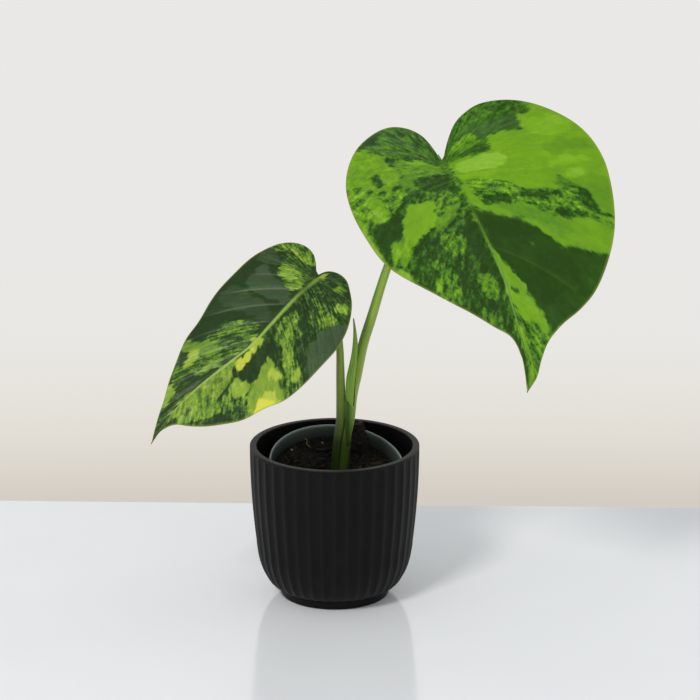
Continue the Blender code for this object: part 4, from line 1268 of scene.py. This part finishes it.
def leaf_skin(name, tones, yellow, rib, margin, sheen, vein_share, streak_size):
    """Leaf blade: waxy, in solid sectors and flecks of two greens, with a pale midrib and grey painted sheen
    where marked.

    Streak size is how wide and long its streaks are, in millimetres.
    """
    skin = new_material(name, Roughness=0.4, IOR=1.45, Specular_IOR_Level=sheen)
    marking = add(skin, "ShaderNodeAttribute", attribute_name="marking")
    channels = add(skin, "ShaderNodeSeparateColor", {"Color": marking.outputs["Color"]})
    tone, fleck, tint = (channels.outputs[c] for c in ("Red", "Green", "Blue"))
    flat = add(skin, "ShaderNodeUVMap", uv_map="Flat").outputs["UV"]
    grain = add(skin, "ShaderNodeUVMap", uv_map="Grain").outputs["UV"]
    # clouds 8 mm wide by 25 mm long and the streaks follow the veins; flecks are 3 mm across.
    # Each octave adds finer ones.
    long_clouds = add(skin, "ShaderNodeMapping", {"Vector": grain, "Scale": (1 / 8, 1 / 25, 1.0)})
    clouds = add(
        skin, "ShaderNodeTexNoise",
        {"Vector": long_clouds.outputs["Vector"], "Scale": 1.0, "Detail": 2.0, "Roughness": 0.5},
    )
    long_streaks = add(
        skin, "ShaderNodeMapping",
        {"Vector": grain, "Scale": (1 / streak_size[0], 1 / streak_size[1], 1.0)},
    )
    streaks = add(
        skin, "ShaderNodeTexNoise",
        {"Vector": long_streaks.outputs["Vector"], "Scale": 1.0, "Detail": 4.0, "Roughness": 0.55},
    )
    flecks = add(
        skin, "ShaderNodeTexNoise",
        {"Vector": flat, "Scale": 0.33, "Detail": 4.0, "Roughness": 0.55, "Distortion": 0.8},
    )
    field = tone
    for texture, plain, flecked in ((clouds, 0.22, 0.3), (streaks, 0.09, 2.3), (flecks, 0.05, 1.3)):
        swing = add(
            skin, "ShaderNodeMath", {0: texture.outputs["Fac"], 1: 0.5}, operation="SUBTRACT"
        )
        amount = add(skin, "ShaderNodeMath", {0: fleck, 1: flecked, 2: plain}, operation="MULTIPLY_ADD")
        field = add(
            skin, "ShaderNodeMath",
            {0: swing.outputs["Value"], 1: amount.outputs["Value"], 2: field}, operation="MULTIPLY_ADD",
        ).outputs["Value"]
    greens = add(skin, "ShaderNodeValToRGB", {"Fac": field}, stops=tones)
    tinted = add(
        skin, "ShaderNodeMix",
        {"Factor": tint, "A": greens.outputs["Color"], "B": linear(yellow)}, data_type="RGBA",
    )
    # Painted sheen: a negative tint greys the blade, a painted reflection
    painted_sheen = add(skin, "ShaderNodeMath", {0: tint, 1: -1.0}, operation="MULTIPLY", use_clamp=True)
    with_painted_sheen = add(
        skin, "ShaderNodeMix",
        {"Factor": painted_sheen.outputs["Value"], "A": tinted.outputs["Result"], "B": linear("8fa08c")},
        data_type="RGBA",
    )
    ribbed_by = add(skin, "ShaderNodeAttribute", attribute_name="rib").outputs["Fac"]
    ribbed = add(
        skin, "ShaderNodeMix",
        {"Factor": ribbed_by, "A": with_painted_sheen.outputs["Result"], "B": linear(rib)}, data_type="RGBA",
    )
    edge_by = add(skin, "ShaderNodeAttribute", attribute_name="edge").outputs["Fac"]
    edged_by = add(skin, "ShaderNodeMath", {0: edge_by, 1: 0.55}, operation="MULTIPLY")
    edged = add(
        skin, "ShaderNodeMix",
        {"Factor": edged_by.outputs["Value"], "A": ribbed.outputs["Result"], "B": linear(margin)},
        data_type="RGBA",
    )
    vein_by = add(skin, "ShaderNodeMath", {0: marking.outputs["Alpha"], 1: vein_share}, operation="MULTIPLY")
    veined = add(
        skin, "ShaderNodeMix",
        {"Factor": vein_by.outputs["Value"], "A": edged.outputs["Result"], "B": linear("8fb050")},
        data_type="RGBA",
    )
    under_by = add(skin, "ShaderNodeAttribute", attribute_name="under").outputs["Fac"]
    paled_by = add(skin, "ShaderNodeMath", {0: under_by, 1: 0.4}, operation="MULTIPLY")
    paled = add(
        skin, "ShaderNodeMix",
        {"Factor": paled_by.outputs["Value"], "A": veined.outputs["Result"], "B": linear("8fa86a")},
        data_type="RGBA",
    )
    drive(skin, "Base Color", paled.outputs["Result"])
    fine = add(skin, "ShaderNodeTexNoise", {"Vector": flat, "Scale": 2.2, "Detail": 3.0})
    bump = add(
        skin, "ShaderNodeBump",
        {"Height": fine.outputs["Fac"], "Strength": 0.12, "Distance": 0.0003},
    )
    drive(skin, "Normal", bump.outputs["Normal"])
    return skin


large_skin = leaf_skin(
    "Large blade skin",
    [(0.0, "223f0c"), (0.16, "2a4e12"), (0.28, "396419"), (0.40, "47761e"), (0.50, "54841f"),
     (0.60, "5f8e1c"), (0.70, "68981a"), (0.82, "76a71e"), (1.0, "8ab644")],
    "e2e79a", "6f9e2c", "8a9a3c", 0.17, 0.05, (2.5, 9),
)
small_skin = leaf_skin(
    "Small blade skin",
    [(0.0, "1b3010"), (0.16, "233e13"), (0.28, "34541c"), (0.40, "466924"), (0.50, "597c29"),
     (0.60, "698b2a"), (0.70, "77972e"), (0.82, "86a536"), (1.0, "9bb456")],
    "cbcd48", "8fb046", "8a9a3c", 0.25, 0.02, (1.9, 11),
)
finish_piece(
    build_blade("blade_large", LARGE_LEAF, LARGE_MARKINGS, 3.0), "leaf_large", large_skin,
    sharp=math.radians(75),
)
finish_piece(
    build_blade("blade_small", SMALL_LEAF, SMALL_MARKINGS, 8.0), "leaf_small", small_skin,
    sharp=math.radians(75),
)


# Table, light and camera
# A pale satin table top whose back edge lies just behind the pot, before a pale wall that
# is so far off that it is only a soft light all round. One broad soft lamp stands high up to
# the left and in front.

TABLE_BACK = 177 * MM
TABLE_SKEW = -0.031
TABLE_FRONT = -1600 * MM
TABLE_HALF_WIDTH = 1500 * MM
TABLE_THICKNESS = 24 * MM

bpy.ops.object.select_all(action="DESELECT")
bpy.ops.mesh.primitive_cube_add(size=1)
table = bpy.context.object
table.name = "table_top"
table_places = get_places(table)
table_places[:, 0] *= 2 * TABLE_HALF_WIDTH
back_line = TABLE_BACK + TABLE_SKEW * table_places[:, 0]
table_places[:, 1] = np.where(table_places[:, 1] > 0, back_line, TABLE_FRONT)
table_places[:, 2] = np.where(table_places[:, 2] > 0, -0.2 * MM, -TABLE_THICKNESS)
set_places(table, table_places)
edit(table, lambda: bpy.ops.mesh.bevel(offset=2 * MM, segments=3))
laminate = new_material("White laminate", Roughness=0.12, Specular_IOR_Level=0.5)
table_spot = add(laminate, "ShaderNodeTexCoord").outputs["Object"]
table_cloud = add(laminate, "ShaderNodeTexNoise", {"Vector": table_spot, "Scale": 6.0})
table_tint = add(
    laminate, "ShaderNodeValToRGB", {"Fac": table_cloud.outputs["Fac"]},
    stops=[(0.3, "e4e8ec"), (0.7, "e9edf1")],
)
drive(laminate, "Base Color", table_tint.outputs["Color"])
table.data.materials.append(laminate)


def soft_lamp(name, place, aim, size, power, colour):
    """A square area lamp that faces its aim."""
    light = bpy.data.lights.new(name, "AREA")
    light.size = size
    light.energy = power
    light.color = linear(colour)[:3]
    lamp = bpy.data.objects.new(name, light)
    bpy.context.collection.objects.link(lamp)
    lamp.location = place
    lamp.rotation_euler = (Vector(aim) - Vector(place)).to_track_quat("-Z", "Y").to_euler()
    return lamp


soft_lamp("key_lamp", (-1.28, -2.15, 2.57), (0, 0, 0.1), 0.7, 58, "fffaf4")

# The wall's tone by how far down (negative) or up the eye looks, as the sine of that angle
WALL_LOWEST = -0.36
WALL_TONES = [
    (-0.36, "cfc8bb"), (-0.335, "d2cbc1"), (-0.3195, "e1dcd3"), (-0.3094, "e5e2db"),
    (-0.294, "e9e7e3"), (-0.2685, "eae8e6"), (0.0, "ebe9e7"), (0.12, "ffffff"), (0.55, "f6f6f6"),
    (0.8, "adaeaf"), (1.0, "98999a"),
]
world = bpy.data.worlds.new("Pale wall all round")
bpy.context.scene.world = world
world.use_nodes = True
looking = add(world, "ShaderNodeTexCoord").outputs["Generated"]
downward = add(world, "ShaderNodeSeparateXYZ", {"Vector": looking}).outputs["Z"]
place_in_ramp = add(
    world, "ShaderNodeMapRange", {"Value": downward, "From Min": WALL_LOWEST, "From Max": 1.0}
)
wall_tone = add(
    world, "ShaderNodeValToRGB", {"Fac": place_in_ramp.outputs["Result"]},
    stops=[((z - WALL_LOWEST) / (1 - WALL_LOWEST), tone) for z, tone in WALL_TONES],
)
world.node_tree.links.new(
    wall_tone.outputs["Color"], world.node_tree.nodes["Background"].inputs["Color"]
)
bpy.context.scene.view_settings.view_transform = "Standard"

CAMERA_DISTANCE = 2.5
CAMERA_ELEVATION = math.radians(17.257)
CAMERA_AIM = Vector((10.343, 0, 171.18)) * MM
camera_data = bpy.data.cameras.new("camera")
camera_data.sensor_width = 36
camera_data.lens = 192.94
camera = bpy.data.objects.new("camera", camera_data)
bpy.context.collection.objects.link(camera)
toward_camera = Vector((0, -math.cos(CAMERA_ELEVATION), math.sin(CAMERA_ELEVATION)))
camera.location = CAMERA_AIM + toward_camera * CAMERA_DISTANCE
camera.rotation_euler = (-toward_camera).to_track_quat("-Z", "Y").to_euler()
bpy.context.scene.camera = camera
